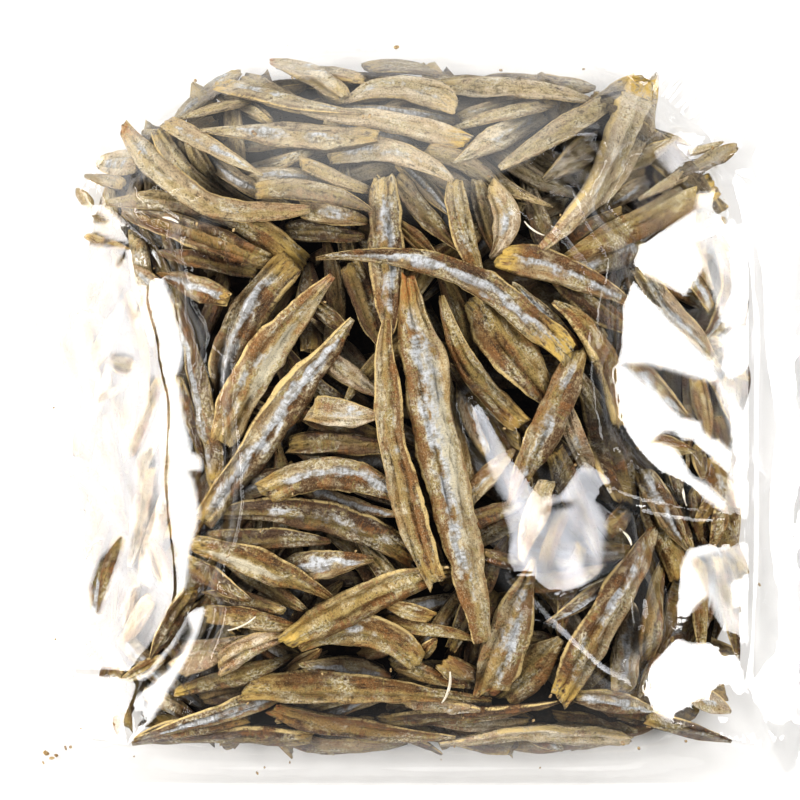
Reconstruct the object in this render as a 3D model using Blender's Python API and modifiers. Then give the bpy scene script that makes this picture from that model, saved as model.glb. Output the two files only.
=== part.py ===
"""A clear pouch packed with headless dried anchovies, lying on its back with the shown side up.

The pouch is one solid: a cushion with a flat underside, the fish that show pressed into its upper side
and its flanks, and the empty margins of film round it. Lengths are in millimetres until the meshes are
made. X runs across the pouch, Y along it towards its upper seal, Z up from the table it lies on.
"""
import math
import random

import bmesh
import bpy
import numpy as np

MM = 0.001

# The pouch of film
FILM_LEFT = -95
FILM_RIGHT = 104
FILM_BOTTOM = -98
FILM_TOP = 116
FILM_SQUARENESS = 18          # exponent of the outline: higher gives tighter corners
FILM_THICKNESS = 0.9          # both films of a margin with the air between them
MARGIN_LIFT = 1.1             # the outer edge's mean height above the table
MARGIN_DROOP = 1.4            # how steeply a margin falls from the seam: higher is steeper
MARGIN_WAVE = 1.6             # how high its edge waves
LONG_WAVES = 5                # waves round the pouch, of two lengths that break each other up
SHORT_WAVES = 8
WAVE_START = 0.7              # radians
MARGIN_ROOT = 0.9             # share of the seam at which it starts, inside the core
MARGIN_SEAM = 1.01            # and at which it leaves the seam
MARGIN_POINTS = 56            # round it, a multiple of four
MARGIN_STEPS = 4              # rings from the seam to its edge

# The cushion of fish inside it
HEAP_MIDDLE = (2.5, -1.5)
HEAP_HALF_WIDTH = 87
HEAP_HALF_LENGTH = 90
HEAP_SQUARENESS_TOP = 3.2     # the upper corners are rounder than the lower ones
HEAP_SQUARENESS_BOTTOM = 6.5
HEAP_HEIGHT = 38
CROWN_FLATNESS = 3.5          # how long the film stays high on its way out from the crown
CROWN_FALL = 0.7              # and how steeply it then falls to the seam: lower is steeper
SEAM_HEIGHT = 9               # where the upper and lower films meet
SEAM_DROP = 1                 # the margins' middle starts this far below it
FLAT_SHARE = 0.74             # share of the outline that the flat underside reaches
FLANK_RISE = 1.6              # how the underside rises to the seam: higher stays low for longer
CORE_DEPTH = 4.4              # at its crown, the core lies this far under the film
CORE_SHARE = 0.965            # and it stays this share within the heap's outline
CORE_SIDES = 40
CORE_RINGS = 12
FLAT_WITHIN = 0.002           # radians that faces joined into one may differ by

# A fish
FISH_FLATNESS = 0.66          # thickness for each unit of width
FISH_PROFILE = ((0.0, 0.68), (0.13, 0.97), (0.42, 0.98), (0.74, 0.66), (1.0, 0.18))
SHORT_PROFILE = ((0.0, 0.72), (0.3, 1.0), (0.7, 0.7), (1.0, 0.2))
SHORT = 34                    # a fish shorter than this needs fewer sections
FISH_SIDES = 6
LINE_STEPS = 24               # samples along a fish while it is laid in place
DEEPEST = 3.0                 # a fish's back lies no deeper under the film than this
ROOTED = 0.7                  # and its belly reaches this far into the core
GIVE = 0.7                    # share of the room it lacks that a fish is lowered by
SETTLED = 0.35                # share of its thickness by which the next fish lies under its middle
TABLE_GAP = 0.6               # its underside stays this far above the lower film

# The fish that show, from the uppermost down: neck x and y, tail x and y, bow to the left, width
SHOWN_FISH = (
    # The uppermost ones in the middle
    (2.5, 30.5, 21, -60, -1.5, 12),
    (42, 11, -21, 35, -9.4, 8),
    (9, -46, -3, 20.5, 4.5, 9),
    (44, 12.5, 27, -26, 0.5, 9),
    (62.5, 82, 34.5, 37.5, 4.3, 12.5),
    (61, 81.5, 25, 57.5, 0.5, 7),
    (-49.5, -30.5, -12, 20.5, 0.4, 9.5),
    (-44.5, -11, -17, 31, 2.5, 10.5),
    (-46, -23, -56, 26, -1.2, 8.5),
    (-27, 34.5, -44, -10, -7, 9.5),
    (55.5, -6, 38, 24, -4.6, 9),
    (57.5, -26, 43, 10, -0.8, 10.5),
    (24.5, 35.5, 60, 22.5, 2.3, 8.5),
    (79.5, 55, 40, 34.5, 0.5, 8.5),
    (-29, -61, 16, -42.5, 3, 9),
    (22, -74, 33, -40, 0, 11),
    (40, -75.5, 64, -32.5, 0.5, 9.5),
    (-39, -73, 23, -75.5, 1.5, 8.5),
    (-34, -23, 4.5, -27, 6.5, 9.5),
    (-52, -36, -16, -50, 1.5, 8),
    (-70.5, 69, -22, 48, -9, 7.5),
    (-24, 34.5, -75, 50, -6.4, 7.5),
    (-47, 80.5, -10, 72, -0.8, 6),
    # Along the top
    (-14, 76, -33, 86, -1.2, 8),
    (-5.5, 65.5, -50, 68, 0.5, 7.5),
    (17, 65, -25, 73, -1, 7),
    (14, 74, -14, 75, -4, 9),
    (10, 78.5, 50.5, 75.5, 1.5, 7),
    (36, 72.5, 14, 60, 0, 7.5),
    (-17.5, 60.5, 13, 54.5, 4.3, 7),
    (-36, 52.5, -7, 47, 2.7, 6),
    (-59, 70, -34.5, 56, 0, 5.5),
    (-61, 68.5, -33, 47.5, -4.8, 5.5),
    (-32, 34.5, -69.5, 48, 0, 8),
    (-4.5, 55, -3, 16, 0, 9.5),
    (14, 54.5, 21, 29, -1.7, 6),
    (22.5, 53, 22.5, 35.5, 3.5, 7.5),
    (85.5, 64.5, 60, 50.5, 0, 5),
    # Down the right
    (61, 40, 39, 29, 0, 8),
    (40, 31, 59, 16, 0, 8),
    (19, 26, 37.5, -1, 0, 12),
    (30.5, -6, 10.5, 26, 3.3, 7),
    (60, 33, 80.5, 8, 0, 7),
    (80.5, 40.5, 75, 14, 5.5, 7),
    (57.5, 9, 72.5, -4, 0, 8),
    (61, -17.5, 72.5, -37.5, 0, 7),
    (70.5, -44.5, 61, -21, 0, 7.5),
    (62.5, -65, 67, -40, 1, 7),
    (77.5, -15, 85, -27.5, 0, 6),
    (82, -26, 79, -38, 0, 5.5),
    (80.5, -40, 85.5, -66, 0, 6),
    (75, -40, 76.5, -65, 0, 5.5),
    (36, -20, 30, -40, 0, 7),
    # Down the left
    (-43, 25, -61, 32, 0, 7),
    (-22.5, -2.5, -4.5, -4, 0, 9),
    (-55.5, 6, -50, -16, 0, 5.5),
    (-57.5, 4, -59, -25, 0, 5),
    (-70.5, -34, -77, -54.5, 0, 5.5),
    (-62.5, -17.5, -69, -42.5, 0, 6),
    (-52.5, -47.5, -62.5, -65, 0, 6),
    (3.5, -39, -50, -29, -5, 9),
    (-53, -40.5, -37.5, -50, 0, 6.5),
    (-30, -44, -7, -40, 1, 9),
    # Along the bottom
    (-49, -54.5, -25, -57, 1, 5.5),
    (-45.5, -67, -27, -59, 1.5, 7),
    (4.5, -65.5, -25, -62.5, -6.5, 8),
    (-2.5, -69, -25, -66, 0, 7.5),
    (11, -65.5, 24, -72.5, 0, 8),
    (-57, -74, -25, -64, 0, 5.5),
    (-27.5, -72.5, -67, -85.5, 0.7, 6),
    (-39, -79, -67.5, -86, 0, 7),
    (-22.5, -85.5, -68, -87, -1, 6),
    (-32, -78, 14, -85.5, -1.5, 6.5),
    (-5, -81, 40, -76, -1, 6),
    (58, -86, 10, -87, -2.5, 7.5),
    (44, -74.5, 65, -78, 0, 6.5),
    (62.5, -80, 84.5, -87, 0, 5),
    (65, -72.5, 84, -70, 0, 8),
)

# The fish on the flanks, which the film presses against the heap's edge
FLANK_FISH = 20
FLANK_SHARE = 0.985           # where their middles lie, as a share of the outline
FLANK_LENGTH = (30, 46)
FLANK_WIDTH = (6, 8.5)
FLANK_SPREAD = 0.25           # how far each may shift round the edge, in steps between fish
FLANK_TURN = 0.12             # how far, in radians, it may turn from the edge's direction

# The fish that fill what the others leave bare
FILLING_FISH = 18
FILLING_TRIES = 900
FILLING_LENGTH = (24, 33)
FILLING_WIDTH = (6.5, 9)
FILLING_BARE = 0.8            # share of a fish's length that has to lie on bare heap
FILLING_SHARE = 0.95          # share of the outline that their middles stay within
FILLING_TURN = 0.5            # how far, in radians, they may turn from the edge's direction
EDGE_STEP = 0.02              # radians between two places that give the edge's direction
SEED = 41

MAP_REACH = 130               # how far the height maps reach from the origin
MAP_TOLERANCE = 0.1
WELD = 2e-6                   # metres
FISH_COLOUR = (0.245, 0.155, 0.07, 1)
FILM_COLOUR = (0.82, 0.81, 0.77, 1)


def squircle(angle, half_width, half_length, squareness):
    """How far an outline with squared corners reaches from its middle, in a direction."""
    across = abs(math.cos(angle) / half_width) ** squareness
    along = abs(math.sin(angle) / half_length) ** squareness
    return (across + along) ** (-1 / squareness)


def heap_reach(angle):
    """How far the heap of fish reaches from its middle."""
    squareness = HEAP_SQUARENESS_TOP if math.sin(angle) > 0 else HEAP_SQUARENESS_BOTTOM
    return squircle(angle, HEAP_HALF_WIDTH, HEAP_HALF_LENGTH, squareness)


def film_reach(angle):
    """How far the pouch's film reaches from the heap's middle."""
    half_width = FILM_RIGHT - HEAP_MIDDLE[0] if math.cos(angle) > 0 else HEAP_MIDDLE[0] - FILM_LEFT
    half_length = FILM_TOP - HEAP_MIDDLE[1] if math.sin(angle) > 0 else HEAP_MIDDLE[1] - FILM_BOTTOM
    return squircle(angle, half_width, half_length, FILM_SQUARENESS)


def share_of_outline(x, y):
    """Distance from the heap's middle as a share of its outline, for arrays of places."""
    across = np.abs((x - HEAP_MIDDLE[0]) / HEAP_HALF_WIDTH)
    along = np.abs((y - HEAP_MIDDLE[1]) / HEAP_HALF_LENGTH)
    squareness = np.where(y > HEAP_MIDDLE[1], HEAP_SQUARENESS_TOP, HEAP_SQUARENESS_BOTTOM)
    return (across ** squareness + along ** squareness) ** (1 / squareness)


def upper_film(share):
    """Height of the film over the heap."""
    crown = np.clip(1 - np.minimum(share, 1) ** CROWN_FLATNESS, 0, 1) ** CROWN_FALL
    return SEAM_HEIGHT + (HEAP_HEIGHT - SEAM_HEIGHT) * crown


def lower_film(share):
    """Height of the film under the heap: flat on the table, then up to the seam."""
    rise = np.clip((share - FLAT_SHARE) / (1 - FLAT_SHARE), 0, 1)
    return SEAM_HEIGHT * rise ** FLANK_RISE


def width_share(t):
    """A fish's width at a share of its length from neck to tail."""
    places, widths = zip(*FISH_PROFILE)
    return np.interp(t, places, widths)


def middle_line(neck_x, neck_y, tail_x, tail_y, bow, t):
    """A fish's middle line seen from above, bowed to its left."""
    length = math.hypot(tail_x - neck_x, tail_y - neck_y)
    left_x = -(tail_y - neck_y) / length
    left_y = (tail_x - neck_x) / length
    arch = 4 * bow * t * (1 - t)
    x = neck_x + (tail_x - neck_x) * t + left_x * arch
    y = neck_y + (tail_y - neck_y) * t + left_y * arch
    return x, y


def flank_fish():
    """Fish that lie along the heap's edge, head to tail round it."""
    draw = random.Random(SEED)
    rows = []
    for number in range(FLANK_FISH):
        angle = 2 * math.pi * (number + draw.uniform(-FLANK_SPREAD, FLANK_SPREAD)) / FLANK_FISH
        rows.append(fish_along_edge(draw, angle, FLANK_SHARE, FLANK_TURN, FLANK_LENGTH, FLANK_WIDTH))
    return rows


def filling_fish(ceiling):
    """Fish on the bare places of the heap, each laid before the next is looked for."""
    draw = random.Random(SEED + 1)
    laid = 0
    for _ in range(FILLING_TRIES):
        share = math.sqrt(draw.random()) * FILLING_SHARE
        row = fish_along_edge(draw, draw.uniform(0, 2 * math.pi), share, FILLING_TURN,
                              FILLING_LENGTH, FILLING_WIDTH)
        if laid < FILLING_FISH and ceiling.bare_share(row) > FILLING_BARE:
            laid += 1
            yield row


def fish_along_edge(draw, angle, share, turn, lengths, widths):
    """A fish at a place of the heap, about in line with the edge nearest to it."""
    x, y = heap_place(angle, share)
    ahead_x, ahead_y = heap_place(angle + EDGE_STEP, share)
    heading = math.atan2(ahead_y - y, ahead_x - x) + draw.uniform(-turn, turn)
    half = draw.choice((-0.5, 0.5)) * draw.uniform(*lengths)
    step_x = half * math.cos(heading)
    step_y = half * math.sin(heading)
    return x - step_x, y - step_y, x + step_x, y + step_y, 0, draw.uniform(*widths)


def heap_place(angle, share):
    """A place on the heap, seen from above."""
    reach = share * heap_reach(angle)
    return HEAP_MIDDLE[0] + reach * math.cos(angle), HEAP_MIDDLE[1] + reach * math.sin(angle)


class Ceiling:
    """What the fish lie up against: the film at first, then the undersides of the fish laid so far."""

    def __init__(self):
        cells = np.arange(-MAP_REACH, MAP_REACH + 1)
        self.x, self.y = np.meshgrid(cells, cells, indexing="ij")
        self.film = upper_film(share_of_outline(self.x, self.y))
        self.height = self.film.copy()

    def at(self, x, y, heights):
        """A height map's value at places given in millimetres."""
        column = np.clip(np.rint(x).astype(int) + MAP_REACH, 0, 2 * MAP_REACH)
        row = np.clip(np.rint(y).astype(int) + MAP_REACH, 0, 2 * MAP_REACH)
        return heights[column, row]

    def bare_share(self, row):
        """How much of a fish's length lies where no fish is yet."""
        x, y = middle_line(*row[:5], np.linspace(0, 1, LINE_STEPS))
        return np.mean(self.at(x, y, self.height) > self.at(x, y, self.film) - MAP_TOLERANCE)

    def lay(self, x, y, widths):
        """Height of a fish's middle line, laid under what is there, and then kept as part of it."""
        t = np.linspace(0, 1, len(x))
        room = self.at(x, y, self.height)
        curve = np.polyval(np.polyfit(t, room, 3), t)
        curve -= GIVE * max(0, np.max(curve - room))
        film = self.at(x, y, self.film)
        thickness = widths * FISH_FLATNESS
        highest = film - np.clip(CORE_DEPTH + ROOTED - thickness, 0, DEEPEST)
        curve = np.clip(curve, film - DEEPEST, highest)
        middle = curve - thickness / 2
        table = lower_film(share_of_outline(x, y)) + thickness / 2 + TABLE_GAP
        middle = np.maximum(middle, table)
        away = np.hypot(self.x[..., None] - x, self.y[..., None] - y) / widths
        nearest = np.argmin(away, axis=-1)
        covered = np.min(away, axis=-1) < 1 / 2
        underside = (middle - SETTLED * thickness)[nearest]
        self.height = np.where(covered, np.minimum(self.height, underside), self.height)
        return middle


def fish_section():
    """The flattened section that every fish is drawn out of, one millimetre wide."""
    curve = bpy.data.curves.new("fish_section", "CURVE")
    spline = curve.splines.new("POLY")
    spline.points.add(FISH_SIDES - 1)
    angles = [2 * math.pi * number / FISH_SIDES for number in range(FISH_SIDES)]
    half_width = MM / 2
    half_height = FISH_FLATNESS * half_width / max(math.sin(angle) for angle in angles)
    for point, angle in zip(spline.points, angles):
        point.co = (half_width * math.cos(angle), half_height * math.sin(angle), 0, 1)
    spline.use_cyclic_u = True
    return bpy.data.objects.new("fish_section", curve)


def fish(number, row, ceiling, section):
    """One fish as a closed mesh: a section drawn along its middle line and tapered towards its tail."""
    neck_x, neck_y, tail_x, tail_y, bow, width = row
    t = np.linspace(0, 1, LINE_STEPS)
    x, y = middle_line(neck_x, neck_y, tail_x, tail_y, bow, t)
    z = ceiling.lay(x, y, width * width_share(t))
    curve = bpy.data.curves.new(f"fish_{number}", "CURVE")
    curve.dimensions = "3D"
    curve.twist_mode = "Z_UP"
    curve.bevel_mode = "OBJECT"
    curve.bevel_object = section
    curve.use_fill_caps = True
    spline = curve.splines.new("POLY")
    length = math.hypot(tail_x - neck_x, tail_y - neck_y)
    profile = SHORT_PROFILE if length < SHORT else FISH_PROFILE
    spline.points.add(len(profile) - 1)
    for point, (place, share) in zip(spline.points, profile):
        here = [float(np.interp(place, t, line)) for line in (x, y, z)]
        point.co = (here[0] * MM, here[1] * MM, here[2] * MM, 1)
        point.radius = width * share
    return as_mesh(curve)


def as_mesh(curve):
    """A curve made a welded mesh object."""
    drawn = bpy.data.objects.new(curve.name, curve)
    bpy.context.scene.collection.objects.link(drawn)
    graph = bpy.context.evaluated_depsgraph_get()
    mesh = bpy.data.meshes.new_from_object(drawn.evaluated_get(graph))
    solid = bpy.data.objects.new(curve.name + "_solid", mesh)
    solid.matrix_world = drawn.matrix_world
    bpy.data.objects.remove(drawn)
    shape = bmesh.new()
    shape.from_mesh(mesh)
    bmesh.ops.remove_doubles(shape, verts=shape.verts, dist=WELD)
    bmesh.ops.recalc_face_normals(shape, faces=shape.faces)
    shape.to_mesh(mesh)
    shape.free()
    return solid


def core():
    """The cushion that the fish are pressed into, from a sphere laid out over the heap's outline."""
    shape = bmesh.new()
    bmesh.ops.create_uvsphere(shape, u_segments=CORE_SIDES, v_segments=CORE_RINGS, radius=1)
    for vertex in shape.verts:
        angle = math.atan2(vertex.co.y, vertex.co.x)
        share = min(1, math.hypot(vertex.co.x, vertex.co.y))
        reach = CORE_SHARE * share * heap_reach(angle)
        if vertex.co.z >= -WELD:
            above_seam = float(upper_film(np.float64(share))) - SEAM_HEIGHT
            height = SEAM_HEIGHT + above_seam * (1 - CORE_DEPTH / (HEAP_HEIGHT - SEAM_HEIGHT))
        else:
            height = float(lower_film(np.float64(share)))
        vertex.co.x = (HEAP_MIDDLE[0] + reach * math.cos(angle)) * MM
        vertex.co.y = (HEAP_MIDDLE[1] + reach * math.sin(angle)) * MM
        vertex.co.z = height * MM
    bmesh.ops.dissolve_limit(shape, angle_limit=FLAT_WITHIN, verts=shape.verts, edges=shape.edges)
    bmesh.ops.recalc_face_normals(shape, faces=shape.faces)
    mesh = bpy.data.meshes.new("bag_of_dried_anchovies")
    shape.to_mesh(mesh)
    shape.free()
    return bpy.data.objects.new("bag_of_dried_anchovies", mesh)


def film_margins():
    """The empty film round the heap: a wavy band from inside the core out to the pouch's edge."""
    shape = bmesh.new()
    inner_edges = []
    for step in range(MARGIN_STEPS + 1):
        ring = bmesh.ops.create_circle(shape, segments=MARGIN_POINTS, radius=1)["verts"]
        for number, vertex in enumerate(ring):
            place_on_margin(vertex, number / MARGIN_POINTS, (step - 1) / (MARGIN_STEPS - 1))
        edges = {edge for vertex in ring for edge in vertex.link_edges}
        if inner_edges:
            bmesh.ops.bridge_loops(shape, edges=inner_edges + list(edges))
        inner_edges = list(edges)
    bmesh.ops.recalc_face_normals(shape, faces=shape.faces)
    mesh = bpy.data.meshes.new("film_margins")
    shape.to_mesh(mesh)
    shape.free()
    band = bpy.data.objects.new("film_margins", mesh)
    thick = band.modifiers.new("two films", "SOLIDIFY")
    thick.thickness = FILM_THICKNESS * MM
    thick.offset = 0
    return band


def towards_edge(turn):
    """The direction of a place on the film's edge, in even steps round its four sides."""
    side, along = divmod(4 * turn, 1)
    upper = ((FILM_RIGHT, FILM_TOP), (FILM_LEFT, FILM_TOP))
    corners = upper + ((FILM_LEFT, FILM_BOTTOM), (FILM_RIGHT, FILM_BOTTOM))
    start = corners[int(side)]
    end = corners[(int(side) + 1) % 4]
    x = start[0] + (end[0] - start[0]) * along
    y = start[1] + (end[1] - start[1]) * along
    return math.atan2(y - HEAP_MIDDLE[1], x - HEAP_MIDDLE[0])


def place_on_margin(vertex, turn, outward):
    """Move a ring's vertex to its place: inside the core (-1), at the seam (0), to the film's edge (1)."""
    angle = towards_edge(turn)
    seam = MARGIN_SEAM * heap_reach(angle)
    reach = seam + (film_reach(angle) - seam) * outward if outward >= 0 else MARGIN_ROOT * seam
    outward = max(outward, 0)
    droop = (SEAM_HEIGHT - SEAM_DROP - MARGIN_LIFT) * (1 - outward) ** MARGIN_DROOP
    waves = math.sin(LONG_WAVES * angle + WAVE_START) * math.sin(SHORT_WAVES * angle)
    rise = MARGIN_WAVE * outward * (1 + waves) / 2
    vertex.co.x = (HEAP_MIDDLE[0] + reach * math.cos(angle)) * MM
    vertex.co.y = (HEAP_MIDDLE[1] + reach * math.sin(angle)) * MM
    vertex.co.z = (MARGIN_LIFT + droop + rise) * MM


def material(name, colour, roughness):
    """A Principled finish of one colour."""
    finish = bpy.data.materials.new(name)
    finish.use_nodes = True
    shader = finish.node_tree.nodes["Principled BSDF"]
    shader.inputs["Base Color"].default_value = colour
    shader.inputs["Roughness"].default_value = roughness
    finish.diffuse_color = colour
    return finish


def without_scraps(mesh):
    """Keep a mesh's largest shell alone, so that sealed hollows are filled and scraps are dropped."""
    shape = bmesh.new()
    shape.from_mesh(mesh)
    bmesh.ops.remove_doubles(shape, verts=shape.verts, dist=WELD)
    shells = []
    unseen = set(shape.faces)
    while unseen:
        shell = set()
        waiting = [unseen.pop()]
        while waiting:
            face = waiting.pop()
            shell.add(face)
            for edge in face.edges:
                for other in edge.link_faces:
                    if other in unseen:
                        unseen.discard(other)
                        waiting.append(other)
        shells.append(shell)
    shells.sort(key=len, reverse=True)
    scraps = [face for shell in shells[1:] for face in shell]
    bmesh.ops.delete(shape, geom=scraps, context="FACES")
    bmesh.ops.triangulate(shape, faces=shape.faces)
    shape.to_mesh(mesh)
    shape.free()


def main():
    for thing in list(bpy.data.objects):
        bpy.data.objects.remove(thing)
    parts = bpy.data.collections.new("dried_anchovies")
    joined = bpy.data.collections.new("pressed_into_the_core")
    for collection in (parts, joined):
        bpy.context.scene.collection.children.link(collection)

    pouch = core()
    parts.objects.link(pouch)
    margins = film_margins()
    joined.objects.link(margins)
    section = fish_section()
    bpy.context.scene.collection.objects.link(section)
    ceiling = Ceiling()
    for rows in (SHOWN_FISH, flank_fish(), filling_fish(ceiling)):
        for row in rows:
            joined.objects.link(fish(len(joined.objects), row, ceiling, section))
    skin = material("dried_fish", FISH_COLOUR, 0.6)
    film = material("clear_film", FILM_COLOUR, 0.2)
    pouch.data.materials.append(skin)
    for piece in joined.objects:
        piece.data.materials.clear()
        piece.data.materials.append(film if piece == margins else skin)

    fuse = pouch.modifiers.new("one solid", "BOOLEAN")
    fuse.operation = "UNION"
    fuse.operand_type = "COLLECTION"
    fuse.collection = joined
    fuse.solver = "EXACT"
    graph = bpy.context.evaluated_depsgraph_get()
    fused = bpy.data.meshes.new_from_object(pouch.evaluated_get(graph))
    pouch.modifiers.clear()
    pouch.data = fused
    fused.name = "bag_of_dried_anchovies"
    without_scraps(fused)
    for piece in list(joined.objects) + [section]:
        bpy.data.objects.remove(piece)
    bpy.data.collections.remove(joined)


main()
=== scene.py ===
"""A clear pouch packed with headless dried anchovies, on its back on a pale table.

The pouch's film, every fish in it, the heap's near-black middle in painted shade, crumbs and bones are
modelled here.
Lengths are in millimetres until a mesh is made. X runs across the pouch, Y along it towards its upper seal, Z
up.
"""

import functools
import math
import random

import bmesh
import bpy
import numpy as np
from bpy.props import FloatProperty, FloatVectorProperty, IntProperty, PointerProperty
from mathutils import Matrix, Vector


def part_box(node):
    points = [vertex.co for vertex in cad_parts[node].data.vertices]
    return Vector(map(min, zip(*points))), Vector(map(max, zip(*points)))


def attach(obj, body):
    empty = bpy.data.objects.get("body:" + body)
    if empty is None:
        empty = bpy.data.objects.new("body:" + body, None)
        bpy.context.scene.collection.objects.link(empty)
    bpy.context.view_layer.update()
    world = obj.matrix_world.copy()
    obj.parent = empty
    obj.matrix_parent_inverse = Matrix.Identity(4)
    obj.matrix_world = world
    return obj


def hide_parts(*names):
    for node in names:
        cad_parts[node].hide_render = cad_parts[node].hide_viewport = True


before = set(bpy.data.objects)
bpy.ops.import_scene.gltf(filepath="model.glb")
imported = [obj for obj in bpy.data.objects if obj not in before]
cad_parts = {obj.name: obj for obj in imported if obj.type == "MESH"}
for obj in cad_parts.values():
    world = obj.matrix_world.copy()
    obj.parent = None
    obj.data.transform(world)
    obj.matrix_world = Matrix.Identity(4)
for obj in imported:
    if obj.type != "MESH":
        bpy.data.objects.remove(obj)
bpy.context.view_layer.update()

bl_info = {
    "name": "Pouch of dried anchovies",
    "version": (1, 0, 0),
    "blender": (4, 5, 0),
    "location": "View3D > Sidebar > Anchovies",
    "description": "Models a clear pouch packed with headless dried anchovies, lying on its back",
    "category": "Add Mesh",
}

NODE = "bag_of_dried_anchovies"
BODY = "root"
MM = 0.001

# The pouch, as the frame has it
LOW_CORNER, HIGH_CORNER = (np.array(corner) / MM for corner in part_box(NODE))
FILM_LEFT, FILM_BOTTOM = LOW_CORNER[:2]
FILM_RIGHT, FILM_TOP = HIGH_CORNER[:2]
FILM_SQUARENESS = 18
HEAP_MIDDLE = (2.5, -1.5)
HEAP_HALF_WIDTH = 87
HEAP_HALF_LENGTH = 90
HEAP_SQUARENESS_TOP = 3.2
HEAP_SQUARENESS_BOTTOM = 6.5
HEAP_HEIGHT = 38
SEAM_HEIGHT = 9
FLAT_SHARE = 0.74
MARGIN_LIFT = 1.1
MARGIN_WAVE = 1.6

# Gap between the sheets at the heap's seam, how far below it the margin's middle starts, how far the upper
# sheet lies above that middle there and the lower one below it, and the gap that is left at the edge
SEAM_GAP, MARGIN_DROP = 1.6, 1
UPPER_RISE, LOWER_FALL, EDGE_GAP = 1.6, 0.8, 0.15

# Shares of the heap's outline between which the sheets go over into the margin
SEAM_FROM, SEAM_TO = 0.94, 1.04

# The height of most of the upper film over the heap
USUAL_HEIGHT = 0.8 * HEAP_HEIGHT

# Kinds of fish, by what their shown side looks like
SILVER, CREAM, GOLD, BROWN, PALE = "silver", "cream", "gold", "brown", "pale"
KINDS = (SILVER, CREAM, GOLD, BROWN, PALE)

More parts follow.
